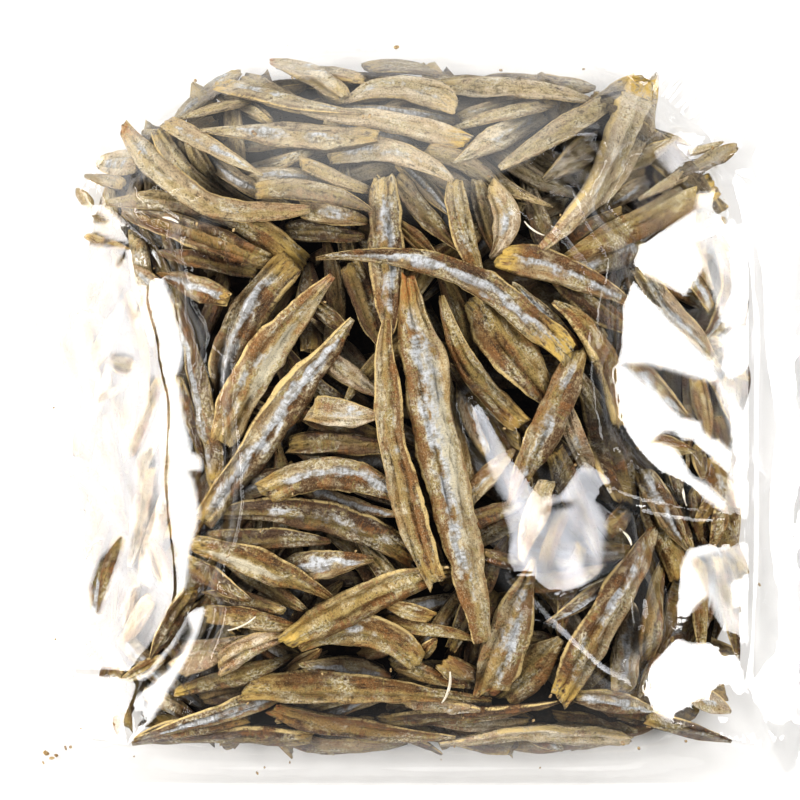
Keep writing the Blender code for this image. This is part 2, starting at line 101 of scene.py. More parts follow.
# The fish that show, from the uppermost down: kind, neck x and y, tail x and y, bow to the left, width,
# and marks: y yellow neck, o orange neck, r rust tail, w white belly, l or e gold left or right edge,
# n narrow neck, t blunt tail, L or R belly on its left or right
SHOWN_FISH = (
    # The uppermost ones in the middle
    (CREAM, 2.5, 30.5, 21, -60, -1.5, 12, "owntL"),
    (SILVER, 42, 11, -21, 35, -9.4, 8, "yL"),
    (CREAM, 9, -46, -3, 20.5, 4.5, 8, "lL"),
    (SILVER, 44, 12.5, 27, -26, 0.5, 9, ""),
    (PALE, 62.5, 82, 34.5, 37.5, 4.3, 12.5, "y"),
    (GOLD, 61, 81.5, 25, 57.5, 0.5, 7, "y"),
    (SILVER, -49.5, -30.5, -12, 20.5, 0.4, 9.5, "e"),
    (CREAM, -44.5, -11, -17, 31, 2.5, 10.5, "rw"),
    (SILVER, -46, -23, -56, 26, -1.2, 8.5, "ye"),
    (SILVER, -27, 34.5, -44, -10, -7, 9.5, "e"),
    (GOLD, 55.5, -6, 38, 24, -4.6, 9, "e"),
    (BROWN, 57.5, -26, 43, 10, -0.8, 10.5, ""),
    (SILVER, 24.5, 35.5, 60, 22.5, 2.3, 8.5, "y"),
    (GOLD, 79.5, 55, 40, 34.5, 0.5, 8.5, "y"),
    (GOLD, -29, -61, 16, -42.5, 3, 9, "y"),
    (CREAM, 22, -74, 33, -40, 0, 11, "lo"),
    (SILVER, 40, -75.5, 64, -32.5, 0.5, 9.5, "y"),
    (GOLD, -39, -73, 23, -75.5, 1.5, 8.5, ""),
    (SILVER, -34, -23, 4.5, -27, 6.5, 9.5, ""),
    (GOLD, -52, -36, -16, -50, 1.5, 8, "w"),
    (CREAM, -70.5, 69, -22, 48, -9, 7.5, "o"),
    (GOLD, -24, 34.5, -75, 50, -6.4, 7.5, "y"),
    (SILVER, -47, 80.5, -10, 72, -0.8, 6, "y"),
    # Along the top
    (PALE, -14, 76, -33, 86, -1.2, 8, "r"),
    (SILVER, -5.5, 65.5, -50, 68, 0.5, 7.5, ""),
    (PALE, 17, 65, -25, 73, -1, 7, "y"),
    (PALE, 14, 74, -14, 75, -4, 9, ""),
    (PALE, 10, 78.5, 50.5, 75.5, 1.5, 7, "r"),
    (GOLD, 40, 75.5, 11, 68, 0, 4.5, ""),
    (PALE, 36, 72.5, 14, 60, 0, 7.5, ""),
    (PALE, -17.5, 60.5, 13, 54.5, 4.3, 7, ""),
    (BROWN, -36, 52.5, -7, 47, 2.7, 6, ""),
    (CREAM, -59, 70, -34.5, 56, 0, 5.5, ""),
    (BROWN, -61, 68.5, -33, 47.5, -4.8, 5.5, ""),
    (GOLD, -54, 67.5, -29, 47, -5.5, 5, ""),
    (SILVER, -50, 63, -27, 48, -1.5, 5, ""),
    (BROWN, -32, 34.5, -69.5, 48, 0, 8, ""),
    (BROWN, -36, 32, -61, 37.5, 0, 5.5, ""),
    (SILVER, -4.5, 55, -3, 16, 0, 9.5, "e"),
    (GOLD, 14, 54.5, 21, 29, -1.7, 6, ""),
    (PALE, 22.5, 53, 22.5, 35.5, 3.5, 7.5, ""),
    (BROWN, 57.5, 59, 70, 67, 0, 6, ""),
    (BROWN, 85.5, 64.5, 60, 50.5, 0, 5, ""),
    (GOLD, -37.5, 75.5, -56, 71, 0, 2.5, ""),
    (SILVER, 13.75, 70.5, -17.5, 74, 0, 4, ""),
    (GOLD, -25, 59, -5.5, 52, 0, 5, ""),
    (PALE, -40, 55.5, -12.5, 54.5, 1, 5, ""),
    (SILVER, -25, 47.5, -8, 44.5, 0.5, 6, ""),
    (GOLD, -79.5, 42, -68, 38.5, 0, 2.8, "y"),
    (GOLD, -78, 48.5, -82, 54, 0, 3.5, ""),
    (PALE, -65.5, 60, -77, 61, 0, 7, ""),
    (BROWN, -70, 54.5, -80.5, 57, 0, 4, ""),
    (BROWN, -74, 46, -78.5, 47, 0, 2.2, ""),
    (PALE, -60, 27.5, -68, 34.5, 0, 5, ""),
    # Down the right
    (SILVER, 61, 40, 39, 29, 0, 8, ""),
    (BROWN, 40, 31, 59, 16, 0, 8, ""),
    (GOLD, 19, 26, 37.5, -1, 0, 12, ""),
    (GOLD, 30.5, -6, 10.5, 26, 3.3, 7, ""),
    (SILVER, 44, 12, 28, 29, 0, 5.5, ""),
    (PALE, 60, 33, 80.5, 8, 0, 7, ""),
    (SILVER, 80.5, 40.5, 75, 14, 5.5, 7, ""),
    (BROWN, 62, 28, 81, 7, 0, 3.5, ""),
    (GOLD, 76, 15, 82, 14, 0, 4, ""),
    (PALE, 72.5, 40.5, 82, 46, 0, 5, ""),
    (PALE, 72.5, 62.5, 82, 65.5, 0, 2.2, ""),
    (SILVER, 57.5, 9, 72.5, -4, 0, 8, ""),
    (GOLD, 75, 5.5, 78, -10, 0, 5, ""),
    (BROWN, 80.5, -4, 83, -13.75, 0, 3.5, ""),
    (SILVER, 61, -17.5, 72.5, -37.5, 0, 7, ""),
    (GOLD, 70.5, -44.5, 61, -21, 0, 7.5, ""),
    (BROWN, 73.75, -37.5, 66, -21, 0, 4.5, ""),
    (GOLD, 62.5, -10, 74, -13, 0, 5, ""),
    (BROWN, 75, -11, 76.5, -20, 0, 5, ""),
    (GOLD, 62.5, -65, 67, -40, 1, 7, "o"),
    (GOLD, 77.5, -15, 85, -27.5, 0, 6, ""),
    (GOLD, 82, -26, 79, -38, 0, 5.5, ""),
    (BROWN, 80.5, -40, 85.5, -66, 0, 6, ""),
    (GOLD, 75, -40, 76.5, -65, 0, 5.5, ""),
    (PALE, 36, -20, 30, -40, 0, 7, ""),
    (GOLD, 52, -33, 60, -25, 0, 6, ""),
    # Down the left
    (SILVER, -43, 25, -61, 32, 0, 7, ""),
    (PALE, -22.5, -2.5, -4.5, -4, 0, 9, ""),
    (BROWN, -55.5, 6, -50, -16, 0, 5.5, ""),
    (PALE, -57.5, 4, -59, -25, 0, 5, ""),
    (GOLD, -61, 5.5, -67.5, -14, 0, 4, ""),
    (BROWN, -67, 8, -74, 10.5, 0, 5.5, ""),
    (BROWN, -69, 4, -77, 0, 0, 2.5, ""),
    (BROWN, -70.5, -34, -77, -54.5, 0, 5.5, ""),
    (PALE, -62.5, -17.5, -69, -42.5, 0, 6, ""),
    (GOLD, -63, -35, -57.5, -49, 0, 5, ""),
    (GOLD, -47.5, -20, -52.5, -36, 0, 6, ""),
    (BROWN, -52.5, -47.5, -62.5, -65, 0, 6, ""),
    (PALE, -62.5, -50, -70, -61, 0, 6, ""),
    (GOLD, -60, -65, -70.5, -71, 0, 4.5, ""),
    (BROWN, 3.5, -39, -50, -29, -5, 9, "o"),
    (BROWN, -53, -40.5, -37.5, -50, 0, 6.5, ""),
    (SILVER, -30, -44, -7, -40, 1, 9, ""),
    (GOLD, 1, -47.5, -11, -34, 0, 6, "y"),
    (BROWN, 2.5, -44, -9, -32.5, 0, 6, ""),
    # Along the bottom
    (GOLD, -49, -54.5, -25, -57, 1, 5.5, ""),
    (PALE, -45.5, -67, -27, -59, 1.5, 7, "r"),
    (PALE, -56, -68, -44, -64, 0, 6.5, ""),
    (GOLD, 4.5, -65.5, -25, -62.5, -6.5, 8, ""),
    (SILVER, -2.5, -69, -25, -66, 0, 7.5, "o"),
    (GOLD, 8, -54.5, -5, -50.5, 0, 4.5, ""),
    (GOLD, 5.5, -64.5, 9, -60, 0, 4, ""),
    (GOLD, -30, -70, -20, -62.5, 0, 5, ""),
    (GOLD, -2.5, -66, 16, -72, 0, 5.5, ""),
    (BROWN, 11, -65.5, 24, -72.5, 0, 8, ""),
    (PALE, 0, -75, 20, -78, 0, 7, ""),
    (GOLD, -57, -74, -25, -64, 0, 5.5, "y"),
    (SILVER, -27.5, -72.5, -67, -85.5, 0.7, 6, ""),
    (GOLD, -39, -79, -67.5, -86, 0, 7, ""),
    (BROWN, -22.5, -85.5, -68, -87, -1, 6, ""),
    (BROWN, -32, -78, 14, -85.5, -1.5, 6.5, "o"),
    (BROWN, -5, -81, 40, -76, -1, 6, ""),
    (PALE, 58, -86, 10, -87, -2.5, 7.5, ""),
    (SILVER, 44, -74.5, 65, -78, 0, 6.5, ""),
    (GOLD, 40, -80.5, 60, -84, 0, 6, ""),
    (BROWN, 62.5, -80, 84.5, -87, 0, 5, ""),
    (PALE, 72.5, -75, 84, -79.5, 0, 6, ""),
    (PALE, 65, -72.5, 84, -70, 0, 8, ""),
    (GOLD, -72, -79.5, -71, -85.5, 0, 2.5, ""),
)

# The fish seen in the gaps, deeper in the heap
DEEP_FISH = (
    (PALE, -15, 75, 27.5, 74, 0, 6, ""),
    (PALE, 58, 72, 36, 55, 0, 10, ""),
    (BROWN, -29, 42, -9, 41, 0, 6, ""),
    (BROWN, -1, 56, 14.5, 37.5, 0, 6, ""),
    (SILVER, 0, 59, 14, 46, 0, 5.5, ""),
    (GOLD, 0, 43, 10, 34.5, 0, 4.5, ""),
    (BROWN, 19, 55, 25, 34.5, 0, 6.5, ""),
    (BROWN, 30, -11, 12.5, 9, 0, 6, ""),
    (PALE, 56, -72.5, 59, -51, 0, 8, ""),
    (BROWN, 73.75, -22.5, 76, -36, 0, 5, ""),
    (BROWN, 70, -46, 66, -65, 0, 6.5, ""),
    (BROWN, 39, -12.5, 50, -40, 0, 7, ""),
    (BROWN, -27.5, -11, 0, -12.5, 1, 7, ""),
    (BROWN, -12.5, 34, -4, 12.5, 0, 7, ""),
    (PALE, -19, 10, -5.5, 1, 0, 6, ""),
    (BROWN, -21, 24, -12.5, 16, 0, 5, ""),
    (BROWN, -46, -16, -32.5, -10, 0, 6, ""),
    (BROWN, -40, -2.5, -25, -5, 0, 6, ""),
    (SILVER, -44, -25, -25, -17.5, 0, 7, ""),
    (BROWN, -49, -35, -17.5, -35, 0, 6, ""),
    (BROWN, -50, -75, -22.5, -67, 0, 7, ""),
    (GOLD, 26, -75, 40, -60, 0, 10, ""),
    (BROWN, 31, -59, 50, -67.5, 0, 6, ""),
)

# Facets of the taut film: which light they mirror to the camera, and their corners. A later facet lies over
# an earlier one. A clear one mirrors nothing bright, a sheer one lets the fish show through a veil, mist is
# a thin veil over the right flank, and a fold is film that lies on itself.
LEFT_BOX, RIGHT_BOX, BACK_BOX, VEIL_BOX = "left", "right", "back", "left veil"
CLEAR, SHEER, MIST, FOLD = "clear", "sheer", "mist", "fold"
FACET_GLOSS = {
    LEFT_BOX: 1, RIGHT_BOX: 1, BACK_BOX: 0.6, VEIL_BOX: 0.92,
    SHEER: 0.42, MIST: 0.6, CLEAR: 0.04, FOLD: 2.3,
}
FACETS = (
    # The pale veil down the left flank
    (VEIL_BOX, ((-87, 53), (-78, 49.5), (-73, 45.5), (-68.75, 40.25), (-61, 33), (-62.5, 28.75), (-63.5, 25),
        (-62, 20), (-60.5, 15), (-59, 5), (-57.5, 0), (-57.5, -5), (-58, -12.5), (-58.5, -20), (-58, -27.5),
        (-57, -35), (-56, -47.5), (-60.25, -56.25), (-62.75, -60.5), (-67.5, -66.75), (-71, -68),
        (-87, -68))),
    (VEIL_BOX, ((-87, -70), (-71, -70), (-66, -71), (-68, -77), (-69.5, -80), (-68.5, -87), (-87, -87))),
    # The crisp white band beside it, and the streak above
    (LEFT_BOX, ((-60.25, 33.25), (-59, 29), (-57.75, 25.75), (-56.25, 20.75), (-55, 16.25), (-54.5, 12.5),
        (-55, 9), (-56.5, 5.75), (-55.5, 3.5), (-54.5, -3.75), (-52.75, -10.5), (-52.5, -13), (-50, -14.5),
        (-49.75, -17.5), (-53.25, -17.5), (-51.75, -21), (-51, -25), (-50.5, -28), (-51, -31.5),
        (-52.25, -35.5), (-53, -38), (-53.25, -42), (-54, -47), (-55.75, -48.75), (-58, -52.5),
        (-59.75, -56), (-62.25, -60.25), (-64.5, -64), (-67.5, -66.75), (-70.75, -67.75), (-71, -69),
        (-67, -68), (-62.75, -61.5), (-60.25, -56.25), (-57, -50), (-56, -47.5), (-56, -42.5), (-57, -35),
        (-58, -27.5), (-58.5, -20), (-58, -12.5), (-57.5, -5), (-57.5, 0), (-59, 5), (-60, 10), (-60.5, 15),
        (-62, 20), (-63.5, 25), (-62.5, 28.75))),
    (LEFT_BOX, ((-81, 55), (-77.75, 55), (-75.5, 49.5), (-69.25, 44.25), (-65.25, 40.75), (-62, 37.5),
        (-60.25, 33.25), (-61, 33), (-65.5, 35.5), (-67.75, 38.25), (-68.75, 40.25), (-73, 45.5),
        (-75.75, 47.75), (-78, 49.5))),
    # Streaks at the lower left corner
    (LEFT_BOX, ((-53.5, -53.5), (-49, -52), (-50, -55.75), (-50.75, -58), (-53.25, -64), (-55.75, -68.75),
        (-58, -72.25), (-60, -76.25), (-63, -81.25), (-65.75, -83.75), (-67, -85), (-68.5, -87),
        (-69.5, -80), (-68, -77), (-67, -75.25), (-61.25, -70.75), (-59, -68.75), (-56.75, -66),
        (-54.75, -63.5), (-52, -58.25), (-53.5, -54.75))),
    (LEFT_BOX, ((-53.5, -53.5), (-54.5, -57), (-57, -61.5), (-60.25, -65.5), (-63.25, -69.75), (-67, -71.25),
        (-67, -70), (-63.5, -68.75), (-60.75, -65), (-57.5, -61), (-54.75, -56.5))),
    # The large polygons of the right shoulder
    (BACK_BOX, ((72.5, 67.5), (63.75, 62.5), (58.5, 54.5), (52, 48.25), (60.25, 50.25), (59.25, 52.5),
        (67.75, 56.25), (72.5, 59.75), (78, 62.5), (84.5, 65.5))),
    (RIGHT_BOX, ((60.5, 39.75), (63.75, 42), (71, 45.75), (75.5, 48.5), (79, 52), (85, 50), (81.75, 41),
        (78, 36.25), (75.5, 32), (71.75, 26.25), (67.75, 28.5), (64.25, 30.75), (60.75, 32), (58.5, 33.75))),
    (RIGHT_BOX, ((58.5, 30), (62.75, 25.75), (67.75, 20), (72.25, 15.75), (76.25, 11.75), (83.5, 5.5),
        (80, 4.25), (74.25, 5.75), (66, 8.25), (61.25, 9.25), (58, 9), (54.5, 9.25), (55.75, 13.75),
        (56, 23.75))),
    (RIGHT_BOX, ((54.5, 9.25), (53.25, 7), (54.25, 1.25), (55, -4.5), (57.25, -9), (60.5, -13.5),
        (62.75, -16), (65.25, -17.75), (68.5, -19.25), (72.25, -21.25), (75.5, -23.75), (80.5, -27.25),
        (83.25, -28.75), (83.5, -27), (80.5, -24), (77.5, -21.5), (73.5, -19.25), (72.25, -17.25),
        (71, -14.75), (69.5, -12.75), (67.75, -11.5), (64, -10.5), (62, -11.25), (64.25, -9.5), (66, -8),
        (69.25, -8), (70.5, -9.75), (73.5, -9.75), (75.25, -12), (78.75, -14.5), (81.25, -17.25),
        (83.75, -19.25), (86.25, -20.5), (92.75, -20), (87.5, -15.5), (83.75, -13.25), (80.25, -10),
        (76.5, -8.25), (75.5, -5.5), (71, -4.5), (69, -2.75), (63.75, 2.5), (60.5, 5), (56.75, 8.25))),
    (RIGHT_BOX, ((75.5, -35.75), (80.5, -37), (83.75, -36.25), (83.75, -40), (80.5, -40.75), (78.75, -44.5),
        (77, -47.5), (77.75, -50.25), (76.25, -50.5), (74.25, -52.75), (72.25, -55.5), (70, -58.5),
        (69.1, -57.25), (70, -51.5), (70.4, -45), (70.75, -42.5), (72, -39.25), (73.5, -37))),
    (RIGHT_BOX, ((69.75, -60), (73.5, -61.5), (77.75, -61.75), (80.5, -61.5), (83.25, -62.5), (85, -64.25),
        (85.75, -66), (87.5, -72.5), (88.75, -80), (92.75, -88.25), (87.5, -87), (81.75, -84.75),
        (76.75, -82.75), (72.25, -82), (67.75, -80.5), (65, -78.75), (63.5, -77.5), (61.5, -74.75),
        (61.25, -72.25), (62, -68.75), (63.5, -66.5), (65.25, -65), (67.25, -62.5))),
    # The creased veils over the dark gap, and the thin arc that runs on from them
    (BACK_BOX, ((18, -2), (20, -1), (23, -7), (27, -14), (31, -19), (35, -25), (32, -26.5), (28.5, -27),
        (25, -23), (22.5, -17), (20, -10))),
    (BACK_BOX, ((31, -20), (35, -24.5), (40, -24), (44, -18), (46.5, -15.5), (53, -20), (50.5, -24),
        (47, -26), (40, -25), (34, -28), (31, -27))),
    (BACK_BOX, ((26, -27.5), (30, -25.5), (35, -28), (42, -27), (47.5, -24), (50, -27), (51.5, -31),
        (50.5, -36.5), (50, -42.5), (46, -46), (38, -48.5), (33, -44), (29, -44), (27, -40), (28, -34))),
    (BACK_BOX, ((50, -21), (53.25, -23.25), (57.75, -24.5), (62.75, -26.25), (67.75, -27), (72.25, -28),
        (76.5, -29), (79.75, -28.75), (83, -28), (83, -29.25), (79.75, -31), (76.5, -31.5), (72.25, -30.25),
        (67.75, -29.25), (62.75, -28.5), (57.75, -26.25), (53.25, -25), (50, -23))),
    (BACK_BOX, ((33, -48), (36, -52), (42, -58), (50, -66), (57, -70), (58, -71.5), (50, -67.5), (41, -59),
        (34, -51))),
    # Where the fish show between them
    (SHEER, ((-65.5, -14), (-62.5, -12), (-60.5, -24), (-62.5, -34), (-66, -44), (-68.5, -40), (-66, -28))),
    (SHEER, ((-67, -45), (-63, -48), (-61.5, -56), (-64, -62), (-67.5, -66), (-70, -60), (-68.5, -52))),
    (CLEAR, ((-81.5, 54.25), (-78, 48.75), (-82.5, 50))),
    (CLEAR, ((-78.5, 47.5), (-76.25, 47.5), (-73.5, 45), (-74.5, 44.5), (-78.5, 45))),
    (CLEAR, ((-80, 42), (-77.5, 42.75), (-73, 40.75), (-68.5, 39.75), (-68.5, 38.25), (-73, 38.75),
        (-78, 39.25), (-80, 40.5))),
    (CLEAR, ((-69, 38), (-71.75, 34.5), (-71, 33.25), (-69.5, 36))),
    (CLEAR, ((-67.5, 36.25), (-65.5, 34.5), (-60.5, 32.5), (-62.5, 30), (-64.25, 28.75), (-66.25, 29.25))),
    (SHEER, ((-65, 26.5), (-64.5, 25.5), (-66, 20.5), (-67.5, 20), (-69.5, 24.25), (-68, 23.75),
        (-66.75, 22))),
    (SHEER, ((-73.25, 11.75), (-70, 12), (-66.5, 10.75), (-68.5, 6.5), (-72, 7.25))),
    (SHEER, ((-74.5, 3), (-74, 1), (-75.75, -1), (-76.25, 0.75))),
    (SHEER, ((-63, 5.75), (-60.5, 5.5), (-60.75, 1.25), (-63, -5), (-65, -10), (-66, -13.75), (-67.5, -14),
        (-68.25, -12), (-65.75, -6.25), (-63.5, -1.25))),
    (SHEER, ((-58.5, -12.5), (-57.5, -15.5), (-58.5, -22.5), (-59.5, -21.25))),
    (SHEER, ((-59.75, -24.5), (-58, -27.5), (-57.5, -33.5), (-59.25, -33.25), (-60.75, -28.75))),
    (SHEER, ((-58, -34.25), (-56, -36.5), (-55, -39), (-56.5, -39.5), (-57.75, -37.5))),
    (SHEER, ((-63, -36.75), (-59.5, -43.75), (-60.5, -46.25), (-62, -42.5))),
    (CLEAR, ((-70.5, -34.5), (-69.5, -35.25), (-73.75, -47.5), (-76.25, -54.25), (-78, -53), (-78.5, -47.5),
        (-75.75, -40))),
    (SHEER, ((-65, -51.5), (-61, -51), (-61.25, -53), (-64, -54))),
    (SHEER, ((-72.5, -79.5), (-71, -80.5), (-71, -85), (-73.5, -83.75))),
    (SHEER, ((-69.25, -80), (-68, -80.5), (-68.25, -84), (-69.5, -85.5))),
    (SHEER, ((-65, -74.5), (-63.5, -75.5), (-64, -78.5))),
    (CLEAR, ((58, 62), (64, 62.5), (69, 56.5), (79, 58), (80, 52), (70, 45), (60.5, 39), (54, 46),
        (52, 50))),
    (CLEAR, ((60, 31), (64, 29.5), (72, 25), (76, 31), (82, 41), (84, 30), (84, 14), (78, 11.5), (70, 18))),
    (CLEAR, ((57, 8), (66, 7.25), (74.5, 5), (84, 3.5), (84, -11), (78, -9.5), (76, -5), (71.5, -4),
        (63.5, 3))),
    (CLEAR, ((71, -38), (84, -34.5), (84, -30), (76, -30.5), (66, -29), (60, -28), (66, -45), (69, -57))),
    (CLEAR, ((71, -58.5), (74.5, -52), (77, -50), (81, -45), (84, -42), (85, -62), (79, -61), (74, -60.5))),
    (CLEAR, ((73.5, -76.5), (77, -75.25), (82, -78), (82.75, -80.5), (77, -80), (74, -79))),
    # The thin veil down the right flank
    (MIST, ((75, 52), (88, 54), (88, 18), (82, 18), (78, 30), (74, 40))),
    (MIST, ((78, 16), (88, 18), (88, -30), (82, -28), (84, -10), (80, 2))),
    (MIST, ((73, -40), (88, -36), (88, -62), (82, -60), (78, -50))),
    # Film folded on itself, in the right margin
    (FOLD, ((83.5, 44), (87, 41), (88.5, 30), (86.5, 20), (84, 18.5), (84.5, 30))),
    (FOLD, ((91, 44.5), (96, 42), (95, 22.5), (93, 24))),
    (FOLD, ((83.5, 17.5), (92, 18.5), (89.75, 11.75), (86.75, 7.5), (83.5, 5.75), (81.5, 8))),
    (FOLD, ((96, 13.5), (103, 11), (103, -0.5), (95, 4.5))),
    (FOLD, ((83.5, -0.25), (86.75, -4), (88.5, -10.25), (91, -15), (93, -19.25), (88.75, -17.5),
        (84.5, -13))),
    (FOLD, ((85, -20.8), (91, -22.9), (90.4, -25), (85, -26.8))),
    (FOLD, ((84, -46.5), (90, -44.75), (87.75, -48.5), (85, -52.5))),
    (FOLD, ((95.5, -20.25), (103, -20), (102, -41), (98.75, -46.5), (97.75, -51.75), (95.5, -67.5),
        (94.5, -83.25), (92.5, -83.75), (92, -70.25), (92.25, -57), (92, -43.75), (92.5, -28))),
    (FOLD, ((96, -68), (100, -60), (103.5, -60), (103.5, -95), (99, -97), (94, -86.5), (95, -80))),
)

LATTICE = np.random.default_rng(7).uniform(-1, 1, (256, 256))


def shown(red, green, blue):
    """A colour as it shows on a screen, from 0 to 255, made linear."""
    return tuple(
        share / 12.92 if share <= 0.04045 else ((share + 0.055) / 1.055) ** 2.4
        for share in (red / 255, green / 255, blue / 255)
    )


def noise(across, along=0.0):
    """Smooth noise from -1 to 1, at places counted in lattice steps."""
    across, along = np.broadcast_arrays(np.asarray(across, float), np.asarray(along, float))
    column = np.floor(across).astype(int)
    row = np.floor(along).astype(int)
    right = across - column
    up = along - row
    right = right * right * (3 - 2 * right)
    up = up * up * (3 - 2 * up)
    size = len(LATTICE)

    def corner(column_step, row_step):
        return LATTICE[(column + column_step) % size, (row + row_step) % size]

    lower = corner(0, 0) * (1 - right) + corner(1, 0) * right
    upper = corner(0, 1) * (1 - right) + corner(1, 1) * right
    return lower * (1 - up) + upper * up


def smooth_step(low, high, value):
    """A smooth way from 0 at low to 1 at high, whichever of the two is the greater."""
    share = np.clip((value - low) / (high - low), 0, 1)
    return share * share * (3 - 2 * share)


# The shape of the pouch

def squircle(angle, half_width, half_length, squareness):
    """How far an outline with squared corners reaches from its middle, in each direction."""
    across = np.abs(np.cos(angle) / half_width) ** squareness
    along = np.abs(np.sin(angle) / half_length) ** squareness
    return (across + along) ** (-1 / squareness)


def heap_reach(angle):
    """How far the heap of fish reaches from its middle."""
    squareness = np.where(np.sin(angle) > 0, HEAP_SQUARENESS_TOP, HEAP_SQUARENESS_BOTTOM)
    return squircle(angle, HEAP_HALF_WIDTH, HEAP_HALF_LENGTH, squareness)


def film_half_sizes(across, along):
    """The film's half width and half length, on the side of the heap's middle where each place lies."""
    half_width = np.where(across > 0, FILM_RIGHT - HEAP_MIDDLE[0], HEAP_MIDDLE[0] - FILM_LEFT)
    half_length = np.where(along > 0, FILM_TOP - HEAP_MIDDLE[1], HEAP_MIDDLE[1] - FILM_BOTTOM)
    return half_width, half_length


def film_reach(angle):
    """How far the pouch's film reaches from the heap's middle."""
    return squircle(angle, *film_half_sizes(np.cos(angle), np.sin(angle)), FILM_SQUARENESS)


def from_middle(x, y):
    """Direction from the heap's middle, and distance as a share of its outline and of its margin."""
    angle = np.arctan2(y - HEAP_MIDDLE[1], x - HEAP_MIDDLE[0])
    distance = np.hypot(x - HEAP_MIDDLE[0], y - HEAP_MIDDLE[1])
    reach = heap_reach(angle)
    outward = (distance - reach) / (film_reach(angle) - reach)
    return angle, distance / reach, np.clip(outward, 0, 1)


def margin_height(angle, outward):
    """Height of the empty film's middle, from the heap's seam out to its edge."""
    wave = MARGIN_WAVE * outward * (0.5 + 0.5 * np.sin(5 * angle + 0.7) * np.sin(8 * angle))
    return MARGIN_LIFT + (SEAM_HEIGHT - MARGIN_LIFT - MARGIN_DROP) * (1 - outward) ** 1.4 + wave


def plain_upper_sheet(x, y):
    """Height of the upper film before it is creased."""
    angle, share, outward = from_middle(x, y)
    crown = np.clip(1 - np.minimum(share, 1) ** 3.5, 0, 1) ** 0.7
    over_heap = SEAM_HEIGHT + (HEAP_HEIGHT - SEAM_HEIGHT) * crown
    gap = UPPER_RISE * (1 - outward) ** 2
    over_margin = margin_height(angle, outward) + gap
    blend = smooth_step(SEAM_FROM, SEAM_TO, share)
    return over_heap * (1 - blend) + over_margin * blend


def plain_lower_sheet(x, y):
    """Height of the lower film: flat on the table, then up to the seam and out along the margin."""
    angle, share, outward = from_middle(x, y)
    rise = np.clip((share - FLAT_SHARE) / (1 - FLAT_SHARE), 0, 1)
    under_heap = (SEAM_HEIGHT - SEAM_GAP) * rise ** 1.6
    under_margin = margin_height(angle, outward) - LOWER_FALL * (1 - outward) ** 2 - EDGE_GAP
    blend = smooth_step(SEAM_FROM, SEAM_TO, share)
    return np.maximum(under_heap * (1 - blend) + under_margin * blend, 0.0)


def inside(polygon, x, y):
    """Which places lie inside a polygon."""
    found = np.zeros(np.shape(x), bool)
    corners = list(polygon)
    for (x1, y1), (x2, y2) in zip(corners, corners[1:] + corners[:1]):
        if y1 == y2:
            continue
        crosses = (y1 > y) != (y2 > y)
        found ^= crosses & (x < (x2 - x1) * (y - y1) / (y2 - y1) + x1)
    return found


def covered(polygon, x, y, cell):
    """How much of each cell about a place lies inside a polygon."""
    steps = (-cell / 3, 0, cell / 3)
    return np.mean([inside(polygon, x + step_x, y + step_y) for step_x in steps for step_y in steps], axis=0)


def widened(cover):
    """A cover that reaches one cell further on every side."""
    sides = [np.roll(cover, step, axis) for step in (-1, 1) for axis in (0, 1)]
    return np.maximum(cover, 0.9 * np.max(sides, axis=0))


